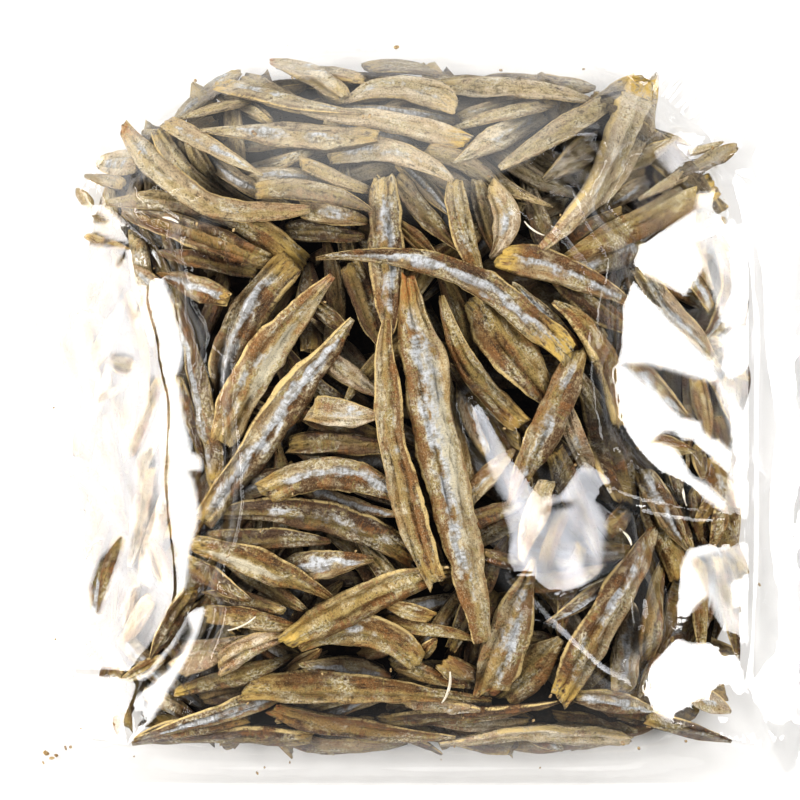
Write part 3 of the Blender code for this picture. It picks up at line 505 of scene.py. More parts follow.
class Sheet:
    """The upper film on a square grid: the plain sheet, pulled into facets where it is creased."""

    CELL = 0.76

    # How firmly a slope is kept: where nothing pulls it, where it has to miss the lights, in a clear facet,
    # and in a facet that mirrors a light
    SLACK, AVOIDING, CLEAR_HOLD, HOLD = 0.05, 0.25, 1, 6

    # The steepest that a clear facet is pulled to
    CLEAR_SLOPE = 0.1

    # How firmly the film is tied to its uncreased height, over the heap and beyond its outline
    TIE, MARGIN_TIE = 0.0007, 0.05

    # How often the slopes are worked out anew, and how many rounds each solution takes
    PASSES, ROUNDS = 6, 240

    # Shares of the film's slope that are tried in turn until it misses the lights
    LESSENINGS = (0.85, 0.7, 0.55, 0.4, 0.3)

    # Gloss where the film clings to the fish, what is added to it towards the upper seal, and in the margin
    CLINGING, ADDED_AT_TOP, MARGIN_GLOSS = 0.3, 0.5, 0.5
    LEAST_GLOSS = 0.04

    def __init__(self):
        columns = np.arange(FILM_LEFT - 1, FILM_RIGHT + 2, self.CELL)
        rows = np.arange(FILM_BOTTOM - 1, FILM_TOP + 2, self.CELL)
        self.x, self.y = np.meshgrid(columns, rows, indexing="ij")
        self.height = plain_upper_sheet(self.x, self.y) + self.wrinkles()
        self.uncreased = self.height.copy()
        covers = [covered(corners, self.x, self.y, self.CELL) for _, corners in FACETS]
        for _ in range(self.PASSES):
            self.height += self.pulled_into_facets(covers)
        self.gloss = self.glossiness(covers)

    def slopes(self):
        """Its steepness along X and Y."""
        return np.gradient(self.height, self.CELL, axis=0), np.gradient(self.height, self.CELL, axis=1)

    def glossiness(self, covers):
        """How much of its gloss the film keeps: all in the facets, little where it clings to oily fish."""
        _, share, _ = from_middle(self.x, self.y)
        steep_x, steep_y = self.slopes()
        stray = any_mirrored(self.x, self.y, steep_x, steep_y).astype(float)
        for _ in range(3):
            sides = [np.roll(stray, step, axis) for axis in (0, 1) for step in (1, -1)]
            stray = sum(sides, stray) / (len(sides) + 1)
        loose = self.CLINGING + self.ADDED_AT_TOP * smooth_step(30, 58, self.y)
        loose = loose * (1 - 0.95 * np.minimum(2 * stray, 1))
        gloss = np.maximum(loose, self.MARGIN_GLOSS * smooth_step(0.97, 1.03, share))
        gloss = self.LEAST_GLOSS + (1 - self.LEAST_GLOSS) * gloss
        for (light, _), cover in zip(FACETS, covers):
            facet = FACET_GLOSS[light] * np.ones(self.x.shape)
            if light in (BACK_BOX, SHEER, MIST):
                facet *= 1 + 0.55 * noise(self.x / 3 + self.y / 9, self.y / 7 + 20)
            if light == VEIL_BOX:
                facet -= 0.25 * np.abs(noise(self.x / 4 + self.y / 11, self.y / 13 + 35))
            gloss += (facet - gloss) * cover
        return gloss

    def wrinkles(self):
        """Soft folds that run out from the heap, faint swells over it, and the ribs of the upper seal."""
        angle, share, outward = from_middle(self.x, self.y)
        around = angle * 22
        folds = 1 - 2 * np.abs(noise(around, 3 + outward * 1.5))
        near_edge = smooth_step(0.78, 1.02, share) * (1 - 0.7 * outward)
        swells = noise(self.x / 21 + 5, self.y / 24 + 9) * 0.7
        crinkles = 0.35 * outward * (1 - 2 * np.abs(noise(self.x / 7 + 40, self.y / 5 + 60)))
        seal = smooth_step(FILM_TOP - 10, FILM_TOP - 9, self.y) * 0.15 * np.sin(2 * math.pi * self.y / 3)
        return 0.7 * near_edge * folds + swells * (1 - smooth_step(0.7, 1.0, share)) + crinkles + seal

    def wanted_slopes(self, covers):
        """Slope along X and Y that each place is pulled to, and how firmly."""
        steep_x, steep_y = self.slopes()
        _, share, _ = from_middle(self.x, self.y)
        over_heap = share < 0.97
        want_x, want_y = steep_x.copy(), steep_y.copy()
        for lessening in self.LESSENINGS:
            bright = over_heap & any_mirrored(self.x, self.y, want_x, want_y)
            want_x[bright] = steep_x[bright] * lessening
            want_y[bright] = steep_y[bright] * lessening
        moved = (want_x != steep_x) | (want_y != steep_y)
        hold = np.where(moved, self.AVOIDING, self.SLACK)
        steepness = np.hypot(steep_x, steep_y)
        for (light, _), cover in zip(FACETS, covers):
            if light in (SHEER, FOLD):
                continue
            if light == CLEAR:
                lessened = np.minimum(1, self.CLEAR_SLOPE / np.maximum(steepness, 1e-6))
                slope_x, slope_y = steep_x * lessened, steep_y * lessened
            else:
                slope_x, slope_y = mirror_slope(light, self.x, self.y)
                cover = widened(cover)
            want_x += (slope_x - want_x) * cover
            want_y += (slope_y - want_y) * cover
            hold += ((self.CLEAR_HOLD if light == CLEAR else self.HOLD) - hold) * cover
        return want_x - steep_x, want_y - steep_y, hold

    def pulled_into_facets(self, covers):
        """The least change of height that turns each facet towards its light."""
        want_x, want_y, hold = self.wanted_slopes(covers)
        hold_x = hold[:-1]
        hold_y = hold[:, :-1]
        _, share, _ = from_middle(self.x, self.y)
        tie = self.TIE + self.MARGIN_TIE * smooth_step(1.0, 1.06, share)

        def gathered(flow_x, flow_y):
            total = np.zeros(self.x.shape)
            total[:-1] -= flow_x
            total[1:] += flow_x
            total[:, :-1] -= flow_y
            total[:, 1:] += flow_y
            return total

        def pull(change):
            steps_x = np.diff(change, axis=0)
            steps_y = np.diff(change, axis=1)
            return gathered(hold_x * steps_x, hold_y * steps_y) + tie * change

        # Conjugate gradients, from no change
        change = np.zeros(self.x.shape)
        wanted = gathered(hold_x * want_x[:-1] * self.CELL, hold_y * want_y[:, :-1] * self.CELL)
        rest = wanted - tie * (self.height - self.uncreased) - pull(change)
        heading = rest.copy()
        size = np.sum(rest * rest)
        for _ in range(self.ROUNDS):
            pulled = pull(heading)
            step = size / np.sum(heading * pulled)
            change += step * heading
            rest -= step * pulled
            new_size = np.sum(rest * rest)
            heading = rest + heading * new_size / size
            size = new_size
        return change

    def at(self, x, y, values=None):
        """Height, or another value that the grid has, at places given in millimetres."""
        column = np.clip((x - self.x[0, 0]) / self.CELL, 0, self.x.shape[0] - 1.001)
        row = np.clip((y - self.y[0, 0]) / self.CELL, 0, self.x.shape[1] - 1.001)
        left = column.astype(int)
        low = row.astype(int)
        right = column - left
        up = row - low
        values = self.height if values is None else values
        lower = values[left, low] * (1 - right) + values[left + 1, low] * right
        upper = values[left, low + 1] * (1 - right) + values[left + 1, low + 1] * right
        return lower * (1 - up) + upper * up


@functools.lru_cache(maxsize=None)
def upper_sheet():
    """The upper film, worked out once."""
    return Sheet()


# The softboxes: turn from +X and lean from straight up in degrees, breadth and depth in metres, radiance.
# Mist mirrors where the right softbox stands, and has no light of its own.
SOFTBOXES = {
    LEFT_BOX: (180, 35, 0.5, 0.2, 9.5),
    RIGHT_BOX: (0, 46, 0.5, 0.22, 9.5),
    MIST: (0, 46, 0.5, 0.22, 0),
    BACK_BOX: (50, 42, 0.3, 0.3, 8.5),
    VEIL_BOX: (180, 62, 0.62, 0.34, 9),
}
BOX_COLOURS = {
    LEFT_BOX: (1, 0.99, 0.98),
    RIGHT_BOX: (1, 0.99, 0.98),
    BACK_BOX: (0.93, 0.94, 1),
    VEIL_BOX: (1, 0.965, 0.95),
}

# In metres: how far the softboxes stand, how far off one still counts as mirrored, the camera's height, the
# height above the table where the picture is as wide as view_width says, and half the floor's side
SOFTBOX_DISTANCE = 0.9
SOFTBOX_RIM = 0.06
EYE_HEIGHT = 1.4
PICTURE_HEIGHT = 0.03
HALF_FLOOR = 8.0

# The soft glows of the room: turn and lean in degrees, how far they reach, in degrees, and radiance
GLOWS = (
    (0, 56, 30, 0.6),
    (90, 50, 34, 1.3),
)


def light_direction(turn, lean):
    """Unit vector from the pouch to a light."""
    turn, lean = math.radians(turn), math.radians(lean)
    return Vector((math.cos(turn) * math.sin(lean), math.sin(turn) * math.sin(lean), math.cos(lean)))


def ways(x, y, goal):
    """Unit vectors from places at the film's usual height to a point in metres."""
    from_x, from_y, from_z = goal.x - x * MM, goal.y - y * MM, goal.z - USUAL_HEIGHT * MM
    length = np.sqrt(from_x ** 2 + from_y ** 2 + from_z ** 2)
    return from_x / length, from_y / length, from_z / length


def mirror_slope(box, x, y):
    """Slope along X and Y of a facet that mirrors the middle of a softbox to the camera."""
    light = ways(x, y, light_direction(*SOFTBOXES[box][:2]) * SOFTBOX_DISTANCE)
    eye = ways(x, y, Vector((0, 0, EYE_HEIGHT)))
    return -(light[0] + eye[0]) / (light[2] + eye[2]), -(light[1] + eye[1]) / (light[2] + eye[2])


def any_mirrored(x, y, slope_x, slope_y):
    """Which places of the film, as steep as given, mirror a softbox to the camera."""
    length = np.sqrt(slope_x ** 2 + slope_y ** 2 + 1)
    normal = np.stack((-slope_x / length, -slope_y / length, 1 / length))
    eye = np.stack(ways(x, y, Vector((0, 0, EYE_HEIGHT))))
    ray = 2 * np.sum(normal * eye, axis=0) * normal - eye
    found = np.zeros(x.shape, bool)
    for turn, lean, breadth, depth, _ in SOFTBOXES.values():
        toward = light_direction(turn, lean)
        across = Vector((-math.sin(math.radians(turn)), math.cos(math.radians(turn)), 0))
        down = across.cross(toward)
        forward = sum(ray[axis] * toward[axis] for axis in range(3))
        reach = (SOFTBOX_DISTANCE - x * MM * toward.x - y * MM * toward.y) / np.maximum(forward, 1e-6)
        hit = (x * MM + ray[0] * reach, y * MM + ray[1] * reach, ray[2] * reach)
        off_across = sum(hit[axis] * across[axis] for axis in range(3))
        off_down = sum(hit[axis] * down[axis] for axis in range(3))
        near_across = np.abs(off_across) < 0.5 * breadth + SOFTBOX_RIM
        near_down = np.abs(off_down) < 0.5 * depth + SOFTBOX_RIM
        found |= near_across & near_down & (forward > 0)
    return found


# Fish

# Places along a fish from neck to tail, and how deep it is there as a share of its greatest depth
DEPTH_SHAPE = ((0, 0.35), (0.05, 0.75), (0.16, 1), (0.5, 0.95), (0.8, 0.62), (1, 0.3))

# Places along a fish where it is laid in the heap
LINE = np.linspace(0, 1, 28)

# How much of its side is silver
SILVER_SHARE = {SILVER: 0.95, CREAM: 0.6, GOLD: 0.3, BROWN: 0.25, PALE: 0.5}

# Points over a fish's outer face and under it, for the fish that show and for the others, and the distance
# between rings below which a fish gets the first
FINE_SECTION = (17, 5)
COARSE_SECTION = (11, 3)
FINE_DETAIL = 1.2

# Room between the fish and the film: the least, what each fish laid before adds, and the most
FILM_ROOM, ROOM_FOR_EACH, MOST_ROOM = 0.15, 0.012, 1.8

# How much painted shade darkens the torn neck inside
NECK_PAINTED_SHADE = 0.3

# Depth under the film at which painted shade starts to darken a fish, and at which it is darkest
PAINTED_SHADE_FROM, PAINTED_SHADE_TO = 2, 10

# Place along the pouch where a painted haze of light starts to pale the fish towards the upper seal, and
# where it is strongest
PAINTED_HAZE_FROM, PAINTED_HAZE_TO = 40, 58


def bump(place, middle, half_width):
    """A smooth bump of height 1."""
    return np.exp(-((place - middle) / half_width) ** 2)


class Bed:
    """One face of the heap, that fish are laid against from the outside in."""

    CELL = 0.5
    REACH = 112

    # How far the fish keep from the sheets, how far past a depth a place may be filled and still be bare,
    # and how far to each side its slope is read
    CLEARANCE, BARE_TO, SLOPE_STEP = 0.45, 1.0, 3.0

    # Where across a fish its room is measured, as shares of its half width, the fall of its line from which
    # it may bend more often, and how much of a clash with its room it gives way by
    PROBES, STEEP_FALL, GIVING_WAY = (-0.6, 0, 0.6), 12, 0.8

    def __init__(self, film, opposite, side):
        """film and opposite give the heights of the sheet that they press on and of the other one, and side
        is 1 on top and -1 below."""
        cells = np.arange(-self.REACH, self.REACH + self.CELL, self.CELL)
        self.x, self.y = np.meshgrid(cells, cells, indexing="ij")
        self.side = side
        self.film = side * film(self.x, self.y) - self.CLEARANCE
        self.opposite = side * opposite(self.x, self.y) + self.CLEARANCE
        self.height = self.film.copy()
        self.share = from_middle(self.x, self.y)[1]
        self.laid = 0

    def bare_places(self, depth, outermost):
        """The cells where nothing reaches down to a depth yet."""
        bare = self.height > self.film - depth - self.BARE_TO
        return np.argwhere(bare & (self.share < outermost))

    def cells_at(self, x, y):
        column = np.clip(np.rint((x + self.REACH) / self.CELL).astype(int), 0, len(self.x) - 1)
        row = np.clip(np.rint((y + self.REACH) / self.CELL).astype(int), 0, len(self.x) - 1)
        return column, row

    def slope(self, x, y):
        """Steepness of the film along X and Y about a place."""
        step = self.SLOPE_STEP
        left, right = self.film[self.cells_at(x - step, y)], self.film[self.cells_at(x + step, y)]
        low, high = self.film[self.cells_at(x, y - step)], self.film[self.cells_at(x, y + step)]
        return (right - left) / (2 * step), (high - low) / (2 * step)

    def bare_share(self, x, y, depth):
        """How much of a line lies where nothing reaches down to a depth yet."""
        here = self.cells_at(x, y)
        return np.mean(self.height[here] > self.film[here] - depth - self.BARE_TO)

    def lay(self, x, y, half_width, half_height, depth):
        """Height of a fish's middle line, under what is there, which it then adds to."""
        ahead_x, ahead_y = np.gradient(x), np.gradient(y)
        length = np.hypot(ahead_x, ahead_y)
        left_x, left_y = -ahead_y / length, ahead_x / length
        here = self.cells_at(x, y)
        room = self.film[here] - depth - half_height
        for share in self.PROBES:
            there = self.cells_at(x + left_x * share * half_width, y + left_y * share * half_width)
            room = np.minimum(room, self.height[there] - half_height * math.sqrt(1 - share * share))
        bends = 3 if np.ptp(room) < self.STEEP_FALL else 5
        curve = np.polyval(np.polyfit(LINE, room, bends), LINE)
        curve -= self.GIVING_WAY * max(0, np.max(curve - room))
        curve = np.maximum(curve, self.opposite[here] + half_height)
        self.keep(x, y, curve, half_width, half_height)
        return self.side * curve

    def keep(self, x, y, curve, half_width, half_height):
        """Lower the face under a fish to its inner side."""
        wide = np.max(half_width) + 1
        first_column, first_row = self.cells_at(np.min(x) - wide, np.min(y) - wide)
        last_column, last_row = self.cells_at(np.max(x) + wide, np.max(y) + wide)
        window = (slice(first_column, last_column + 1), slice(first_row, last_row + 1))
        self.laid += 1
        away = np.hypot(self.x[window][..., None] - x, self.y[window][..., None] - y) / half_width
        nearest = np.argmin(away, axis=-1)
        share = np.min(away, axis=-1)
        inner = (curve - 0.8 * half_height)[nearest] + 0.5 * half_height[nearest] * share
        self.height[window] = np.where(share < 1, np.minimum(self.height[window], inner), self.height[window])


def middle_line(neck_x, neck_y, tail_x, tail_y, bow, t):
    """A fish's middle line seen from above, bowed to its left."""
    length = math.hypot(tail_x - neck_x, tail_y - neck_y)
    left_x = -(tail_y - neck_y) / length
    left_y = (tail_x - neck_x) / length
    arch = 4 * bow * t * (1 - t)
    x = neck_x + (tail_x - neck_x) * t + left_x * arch
    y = neck_y + (tail_y - neck_y) * t + left_y * arch
    return x, y


class Shoal:
    """The fish of one kind, gathered into one mesh."""

    MARKS = (
        "silver", "rim", "side", "white_patch", "rust", "gold_end",
        "hollow", "deep", "faded", "tone", "hue",
    )

    def __init__(self):
        self.points = []
        self.corners = []
        self.sizes = []
        self.lay = []
        self.marks = {name: [] for name in self.MARKS}
        self.count = 0

    def add(self, points, corners, sizes, lay, marks):
        self.points.append(points)
        self.corners.append(corners + self.count)
        self.sizes.append(sizes)
        self.lay.append(lay)
        for name in self.MARKS:
            self.marks[name].append(np.broadcast_to(marks[name], len(points)))
        self.count += len(points)

    def piece(self, name, finish):
        """The mesh object."""
        corners = np.concatenate(self.corners)
        sizes = np.concatenate(self.sizes)
        mesh = mesh_from_arrays(name, np.concatenate(self.points), corners, sizes)
        vector = mesh.attributes.new("lay", "FLOAT_VECTOR", "POINT")
        vector.data.foreach_set("vector", np.concatenate(self.lay).astype(np.float32).ravel())
        for mark in self.MARKS:
            values = mesh.attributes.new(mark, "FLOAT", "POINT")
            values.data.foreach_set("value", np.concatenate(self.marks[mark]).astype(np.float32))
        mesh.materials.append(finish)
        return linked(name, mesh)


def mesh_from_arrays(name, points, corners, sizes):
    """A smooth mesh from points in millimetres, the faces' corners in a row, and the faces' sizes."""
    mesh = bpy.data.meshes.new(name)
    mesh.vertices.add(len(points))
    mesh.vertices.foreach_set("co", (points * MM).astype(np.float32).ravel())
    mesh.loops.add(len(corners))
    mesh.loops.foreach_set("vertex_index", corners.astype(np.int32))
    mesh.polygons.add(len(sizes))
    starts = np.concatenate(([0], np.cumsum(sizes)[:-1]))
    mesh.polygons.foreach_set("loop_start", starts.astype(np.int32))
    mesh.update(calc_edges=True)
    mesh.validate()
    mesh.shade_smooth()
    return mesh


def linked(name, mesh):
    """An object in the scene that shows a mesh."""
    piece = bpy.data.objects.new(name, mesh)
    bpy.context.scene.collection.objects.link(piece)
    return piece


@functools.lru_cache(maxsize=None)
def tube_faces(rings, sides):
    """Corners and sizes of the faces of a tube with a hollow neck and a closed tail."""
    ring = np.arange(rings - 1)[:, None] * sides
    side = np.arange(sides)[None, :]
    after = (side + 1) % sides
    walls = np.stack((ring + side, ring + after, ring + sides + after, ring + sides + side), -1)
    inner = rings * sides
    side = side[0]
    after = after[0]
    collar = np.stack((side, inner + side, inner + after, after), -1)
    neck = inner + side[::-1]
    tail = (rings - 1) * sides + side
    corners = np.concatenate((walls.ravel(), collar.ravel(), neck, tail))
    sizes = np.concatenate((np.full(len(walls.reshape(-1, 4)) + sides, 4), (sides, sides)))
    return corners, sizes


class Outline:
    """How wide a fish is along its length: widest near the neck, and drawn out to the tail."""

    def __init__(self, marks, draw):
        self.peak = draw.uniform(0.18, 0.42)
        self.neck = 0.34 if "n" in marks else draw.uniform(0.45, 0.85)
        self.tail = 0.42 if "t" in marks else draw.uniform(0.1, 0.24)
        self.power = draw.uniform(0.65, 1.15)

    def at(self, t):
        rising = self.neck + (1 - self.neck) * np.sin(0.5 * math.pi * np.minimum(t / self.peak, 1))
        left = np.clip((t - self.peak) / (1 - self.peak), 0, 1)
        falling = self.tail + (1 - self.tail) * np.clip(np.cos(0.5 * math.pi * left), 0, 1) ** self.power
        return np.where(t < self.peak, rising, falling)


@functools.lru_cache(maxsize=None)
def section_turns(top, bottom, side):
    """Angles round a fish's section: many over its outer face, few under it."""
    outer = np.linspace(0, math.pi, top)
    outer = 0.5 * outer + 0.5 * np.arccos(np.linspace(1, -1, top))
    inner = math.pi + math.pi * np.arange(1, bottom + 1) / (bottom + 1)
    turns = np.concatenate((outer, inner))
    return turns if side > 0 else np.mod(turns + math.pi, 2 * math.pi)


class Fish:
    """One fish: what its row gives, and what is drawn for it by chance."""

    def __init__(self, row, draw, detail, side):
        self.kind, neck_x, neck_y, tail_x, tail_y, bow, self.width, self.marks = row
        self.ends = neck_x, neck_y, tail_x, tail_y, bow
        self.length = math.hypot(tail_x - neck_x, tail_y - neck_y)
        self.left_x, self.left_y = -(tail_y - neck_y) / self.length, (tail_x - neck_x) / self.length
        self.flatness = draw.uniform(0.42, 0.62) if self.width > 5 else draw.uniform(0.5, 0.7)
        self.outline = Outline(self.marks, draw)
        self.roll = draw.gauss(0, 0.2)
        self.phase = draw.uniform(0, 200)
        self.twist = draw.gauss(0, 0.25)
        self.belly = 1 if "L" in self.marks else -1 if "R" in self.marks else draw.choice((-1, 1))
        self.slit_width = draw.uniform(0.1, 0.4)
        self.back_fold = draw.uniform(0.25, 0.75)
        self.belly_fold = draw.uniform(0.3, 1.1)
        self.torn_lean = draw.uniform(-0.25, 0.25)
        self.silver = SILVER_SHARE[self.kind] + draw.uniform(-0.3, 0.3)
        self.white_place = draw.uniform(0.3, 0.5)
        self.tone = draw.uniform(0, 1)
        self.hue = draw.uniform(0, 1)

        rings = max(12, int(self.length / detail) + 6)
        self.turn = section_turns(*(FINE_SECTION if detail < FINE_DETAIL else COARSE_SECTION), side)
        self.shape = (rings, len(self.turn))
        self.places = np.linspace(0, 1, rings) ** 1.06
        self.t = self.places[:, None]
        self.along = self.t * self.length
        self.across = np.cos(self.turn)[None, :]
        self.over = np.sin(self.turn)[None, :]
        self.bellyward = self.across * self.belly
        self.slit = bump(self.bellyward, 1, 0.09) * smooth_step(0.62, 0.35, self.t) * self.slit_width

    def wave(self, step, row):
        """Smooth noise along the fish that turns about every so many millimetres."""
        return noise(self.along / step + self.phase, row)

    def laid(self, bed, depth):
        """Height of its middle line where it is laid in a bed, and its lean with the bed's slope."""
        x, y = middle_line(*self.ends, LINE)
        half_width = 0.5 * self.width * self.outline.at(LINE)
        half_height = np.hypot(half_width * math.sin(self.roll), self.flatness * half_width)
        slope_x, slope_y = bed.slope(np.mean(x), np.mean(y))
        lean = 0.8 * math.atan(slope_x * self.left_x + slope_y * self.left_y)
        return bed.lay(x, y, half_width, half_height, depth), lean

    def axes(self, bed, depth):
        """Its middle line, and the ways ahead, to its left and up at each ring."""
        height, lean = self.laid(bed, depth)
        x, y = middle_line(*self.ends, self.places)
        x += 0.6 * self.wave(12, 2.5)[:, 0]
        y += 0.6 * self.wave(12, 7.5)[:, 0]
        z = np.interp(self.places, LINE, height) + 0.35 * self.wave(11, 11.5)[:, 0]
        line = np.stack((x, y, z), -1)
        ahead = np.gradient(line, axis=0)
        ahead /= np.linalg.norm(ahead, axis=1)[:, None]
        left = np.cross((0, 0, 1), ahead)
        left /= np.linalg.norm(left, axis=1)[:, None]
        up = np.cross(ahead, left)
        twist = self.twist * (self.places - 0.4)
        roll = bed.side * lean + self.roll + twist + 0.15 * self.wave(9, 15.5)[:, 0]
        cosine, sine = np.cos(roll)[:, None], np.sin(roll)[:, None]
        return line, ahead, left * cosine + up * sine, up * cosine - left * sine

    def sideways(self, half_width):
        """How far each point lies to the left: swollen, ragged, and slit along the belly."""
        edge = 9 * (self.across > 0)
        swell = 0.22 * self.wave(11, 18.5 + edge) + 0.14 * self.wave(4, 20.5 + edge)
        ragged = 0.05 * self.wave(1.3, 23.5 + edge)
        return half_width * self.across * (1 + (swell + ragged) * np.abs(self.across)) * (1 - self.slit)

    def folds(self):
        """The dried flesh's ridges and furrows along its length."""
        back = self.back_fold * (1 + 0.8 * self.wave(8, 40.5))
        belly = self.belly_fold * (1 + 0.6 * self.wave(9, 41.5))
        shift = 0.2 * self.wave(13, 42.5)
        place = self.bellyward
        return (0.3 * bump(place, -0.56 + shift, 0.2) - back * bump(place, -0.24 + shift, 0.15)
                + 0.3 * bump(place, 0.06 + shift, 0.16) - belly * bump(place, 0.4 + shift, 0.17)
                + 0.45 * bump(place, 0.84, 0.15) - 0.3 * smooth_step(0.3, 0.6, place))

    def upward(self, half_width):
        """How far each point lies up: folded, dented, and with a belly edge that flutters."""
        half_depth = 0.5 * self.width * self.flatness * np.interp(self.t, *zip(*DEPTH_SHAPE))
        dents = 0.34 * self.wave(5, 45 + 1.6 * self.across) + 0.2 * self.wave(2.1, 60 + 3 * self.across)
        fibres = 0.1 * self.wave(3.2, 80 + 8 * self.across + 3 * self.over)
        roundness = np.maximum(1 - np.abs(self.across) ** 2.2, 0) ** 0.6
        dried = 1 + (self.folds() + dents + fibres) * roundness ** 0.5
        flutter = 0.3 * self.wave(6, 85.5) * smooth_step(0.2, 1, self.bellyward)
        return half_depth * np.sign(self.over) * roundness * dried + half_width * flutter

    def torn(self):
        """How far the torn neck's edge reaches ahead."""
        small = noise(self.turn * 2.4 + self.phase, 90.5)
        large = noise(self.turn * 0.9 + self.phase, 93.5)
        jags = 0.11 * small + 0.1 * large
        return (1 - smooth_step(0, 0.09, self.t)) * self.width * (jags + self.torn_lean * self.across)

    def fields(self, points, bed):
        """What the skin's finish reads at each point."""
        t = self.t
        cells = bed.cells_at(points[..., 0], points[..., 1])
        depths = bed.side * (bed.side * bed.film[cells] - points[..., 2])
        ends = smooth_step(0.0, 0.16, t) * smooth_step(1.0, 0.75, t)
        gold_side = self.across if "e" in self.marks else -self.across if "l" in self.marks else -1
        # The rim is partly a painted highlight: it is painted weaker on the edge that faces away from the
        # light from the upper left
        left_toward_light = self.left_y * 0.6 - self.left_x * 0.8
        unlit_edge_dimming = 0.12 * (self.across * left_toward_light < 0) * abs(left_toward_light)
        rusty_neck = smooth_step(0.11, 0, t) if "o" in self.marks else 0
        rusty_tail = smooth_step(0.9, 1, t) if "r" in self.marks else 0
        white_patch = bump(t, self.white_place, 0.3) * bump(self.bellyward, 0.3, 0.34)
        return {
            "silver": self.silver * (0.4 + 0.6 * ends) * (1 + 0.3 * self.wave(7, 106.5)),
            "rim": np.abs(self.across) + 0.25 * np.maximum(gold_side, 0) ** 2 - unlit_edge_dimming,
            "side": self.bellyward,
            "white_patch": white_patch * (1 if "w" in self.marks else 0.35),
            "rust": rusty_neck + rusty_tail,
            "gold_end": smooth_step(0.18, 0.04, t) * (1 if "y" in self.marks else 0.4),
            # hollow is painted shade inside the belly slit
            "hollow": np.clip(self.slit * 2.5, 0, 1),
            # deep is painted shade, darker the deeper a point lies under the film
            "deep": smooth_step(PAINTED_SHADE_FROM, PAINTED_SHADE_TO, depths),
            # a painted haze of light that pales the fish towards the upper seal
            "faded": smooth_step(PAINTED_HAZE_FROM, PAINTED_HAZE_TO, points[..., 1]),
            "tone": self.tone,
            "hue": self.hue,
        }


def room_between_sheets(points, bed):
    """How low and how high a fish may reach: nearer to its sheet, the earlier it was laid."""
    x, y = points[..., 0], points[..., 1]
    low, high = plain_lower_sheet(x, y), upper_sheet().at(x, y)
    near = np.minimum(FILM_ROOM + min(ROOM_FOR_EACH * bed.laid, MOST_ROOM), 0.5 * (high - low))
    return (low + FILM_ROOM, high - near) if bed.side > 0 else (low + near, high - FILM_ROOM)


def make_fish(shoal, row, bed, depth, draw, detail):
    """One fish: laid in place, drawn out along its line, folded, torn at the neck and marked."""
    fish = Fish(row, draw, detail, bed.side)
    line, ahead, left, up = fish.axes(bed, depth)
    half_width = 0.5 * fish.width * fish.outline.at(fish.t)
    wide, high = fish.sideways(half_width), fish.upward(half_width)
    points = (line[:, None] + left[:, None] * wide[..., None] + up[:, None] * high[..., None]
              + ahead[:, None] * fish.torn()[..., None])
    middle = line[0] + ahead[0] * 0.05 * fish.width
    inner = middle + 0.5 * (points[0] - line[0])
    floor, roof = room_between_sheets(points, bed)
    points[..., 2] = np.clip(points[..., 2], floor, roof)

    rings, sides = fish.shape
    marks = {}
    for name, field in fish.fields(points, bed).items():
        field = np.broadcast_to(field, fish.shape).ravel()
        inner_ring = np.full(sides, NECK_PAINTED_SHADE) if name == "hollow" else field[:sides]
        marks[name] = np.concatenate((field, inner_ring))
    # The skin's pattern is placed by the way along the fish, the way across it and the height of the film
    lay = np.broadcast_arrays(fish.along + fish.phase * 7, wide, roof + fish.phase * 3)
    lay = np.stack(lay, -1).reshape(-1, 3)
    lay = np.concatenate((lay, lay[:sides]))
    points = np.concatenate((points.reshape(-1, 3), inner))
    shoal.add(points, *tube_faces(rings, sides), lay, marks)


def heap_place(angle, share):
    """A place on the heap, seen from above."""
    reach = share * float(heap_reach(angle))
    return HEAP_MIDDLE[0] + reach * math.cos(angle), HEAP_MIDDLE[1] + reach * math.sin(angle)


def loose_row(draw, x, y, turn, lengths, widths):
    """A fish of any kind at a place of the heap, turned at most so far from the nearest edge."""
    angle = math.atan2(y - HEAP_MIDDLE[1], x - HEAP_MIDDLE[0])
    ahead_x, ahead_y = heap_place(angle + 0.02, float(from_middle(x, y)[1]))
    heading = math.atan2(ahead_y - y, ahead_x - x) + draw.uniform(-turn, turn)
    length = draw.choice((-1, 1)) * draw.uniform(*lengths)
    step_x = 0.5 * length * math.cos(heading)
    step_y = 0.5 * length * math.sin(heading)
    kind = draw.choices(KINDS, LOOSE_KIND_WEIGHTS)[0]
    bow = draw.gauss(0, 0.05) * length
    return kind, x - step_x, y - step_y, x + step_x, y + step_y, bow, draw.uniform(*widths), ""


# Layers of loose fish, from the film inwards: number, tries, depth under the film, least bare share of a
# place, outermost share of the heap's outline, greatest turn from its edge, lengths and widths
GAP_LAYERS = (
    (40, 900, 0.5, 0.6, 0.93, 0.5, (18, 34), (4, 6.5)),
    (90, 900, 3.0, 0.5, 0.93, 1.6, (22, 40), (5, 7.5)),
    (110, 900, 5.5, 0.35, 0.92, 1.6, (26, 46), (6, 9)),
    (90, 700, 8.5, 0.25, 0.9, 1.6, (32, 50), (7, 10)),
    (60, 500, 12.0, 0.15, 0.86, 1.6, (36, 52), (9, 12)),
)
UNDERSIDE_LAYERS = (
    (70, 900, 0.0, 0.75, 0.97, 1.6, (32, 52), (6, 10)),
    (60, 700, 2.5, 0.45, 0.95, 1.6, (30, 48), (6, 9)),
)
# How far a loose fish may reach, as a share of the heap's outline, and how common each kind is
LOOSE_OUTERMOST = 0.97
LOOSE_KIND_WEIGHTS = (3, 1, 5, 5, 2)

# Fish about the heap's edge: number, where they lie and how far they may reach as shares of its outline,
# and greatest turn from its edge, lengths and widths
FLANK_FISH = 40
FLANK_SHARES = (0.84, 0.955)
FLANK_OUTERMOST = 0.985
FLANK_LAYER = (0.9, (14, 32), (4, 6.5))

DEEP_FISH_DEPTH = 4.5
FISH_SEED = 41
CRUMB_SEED = 23


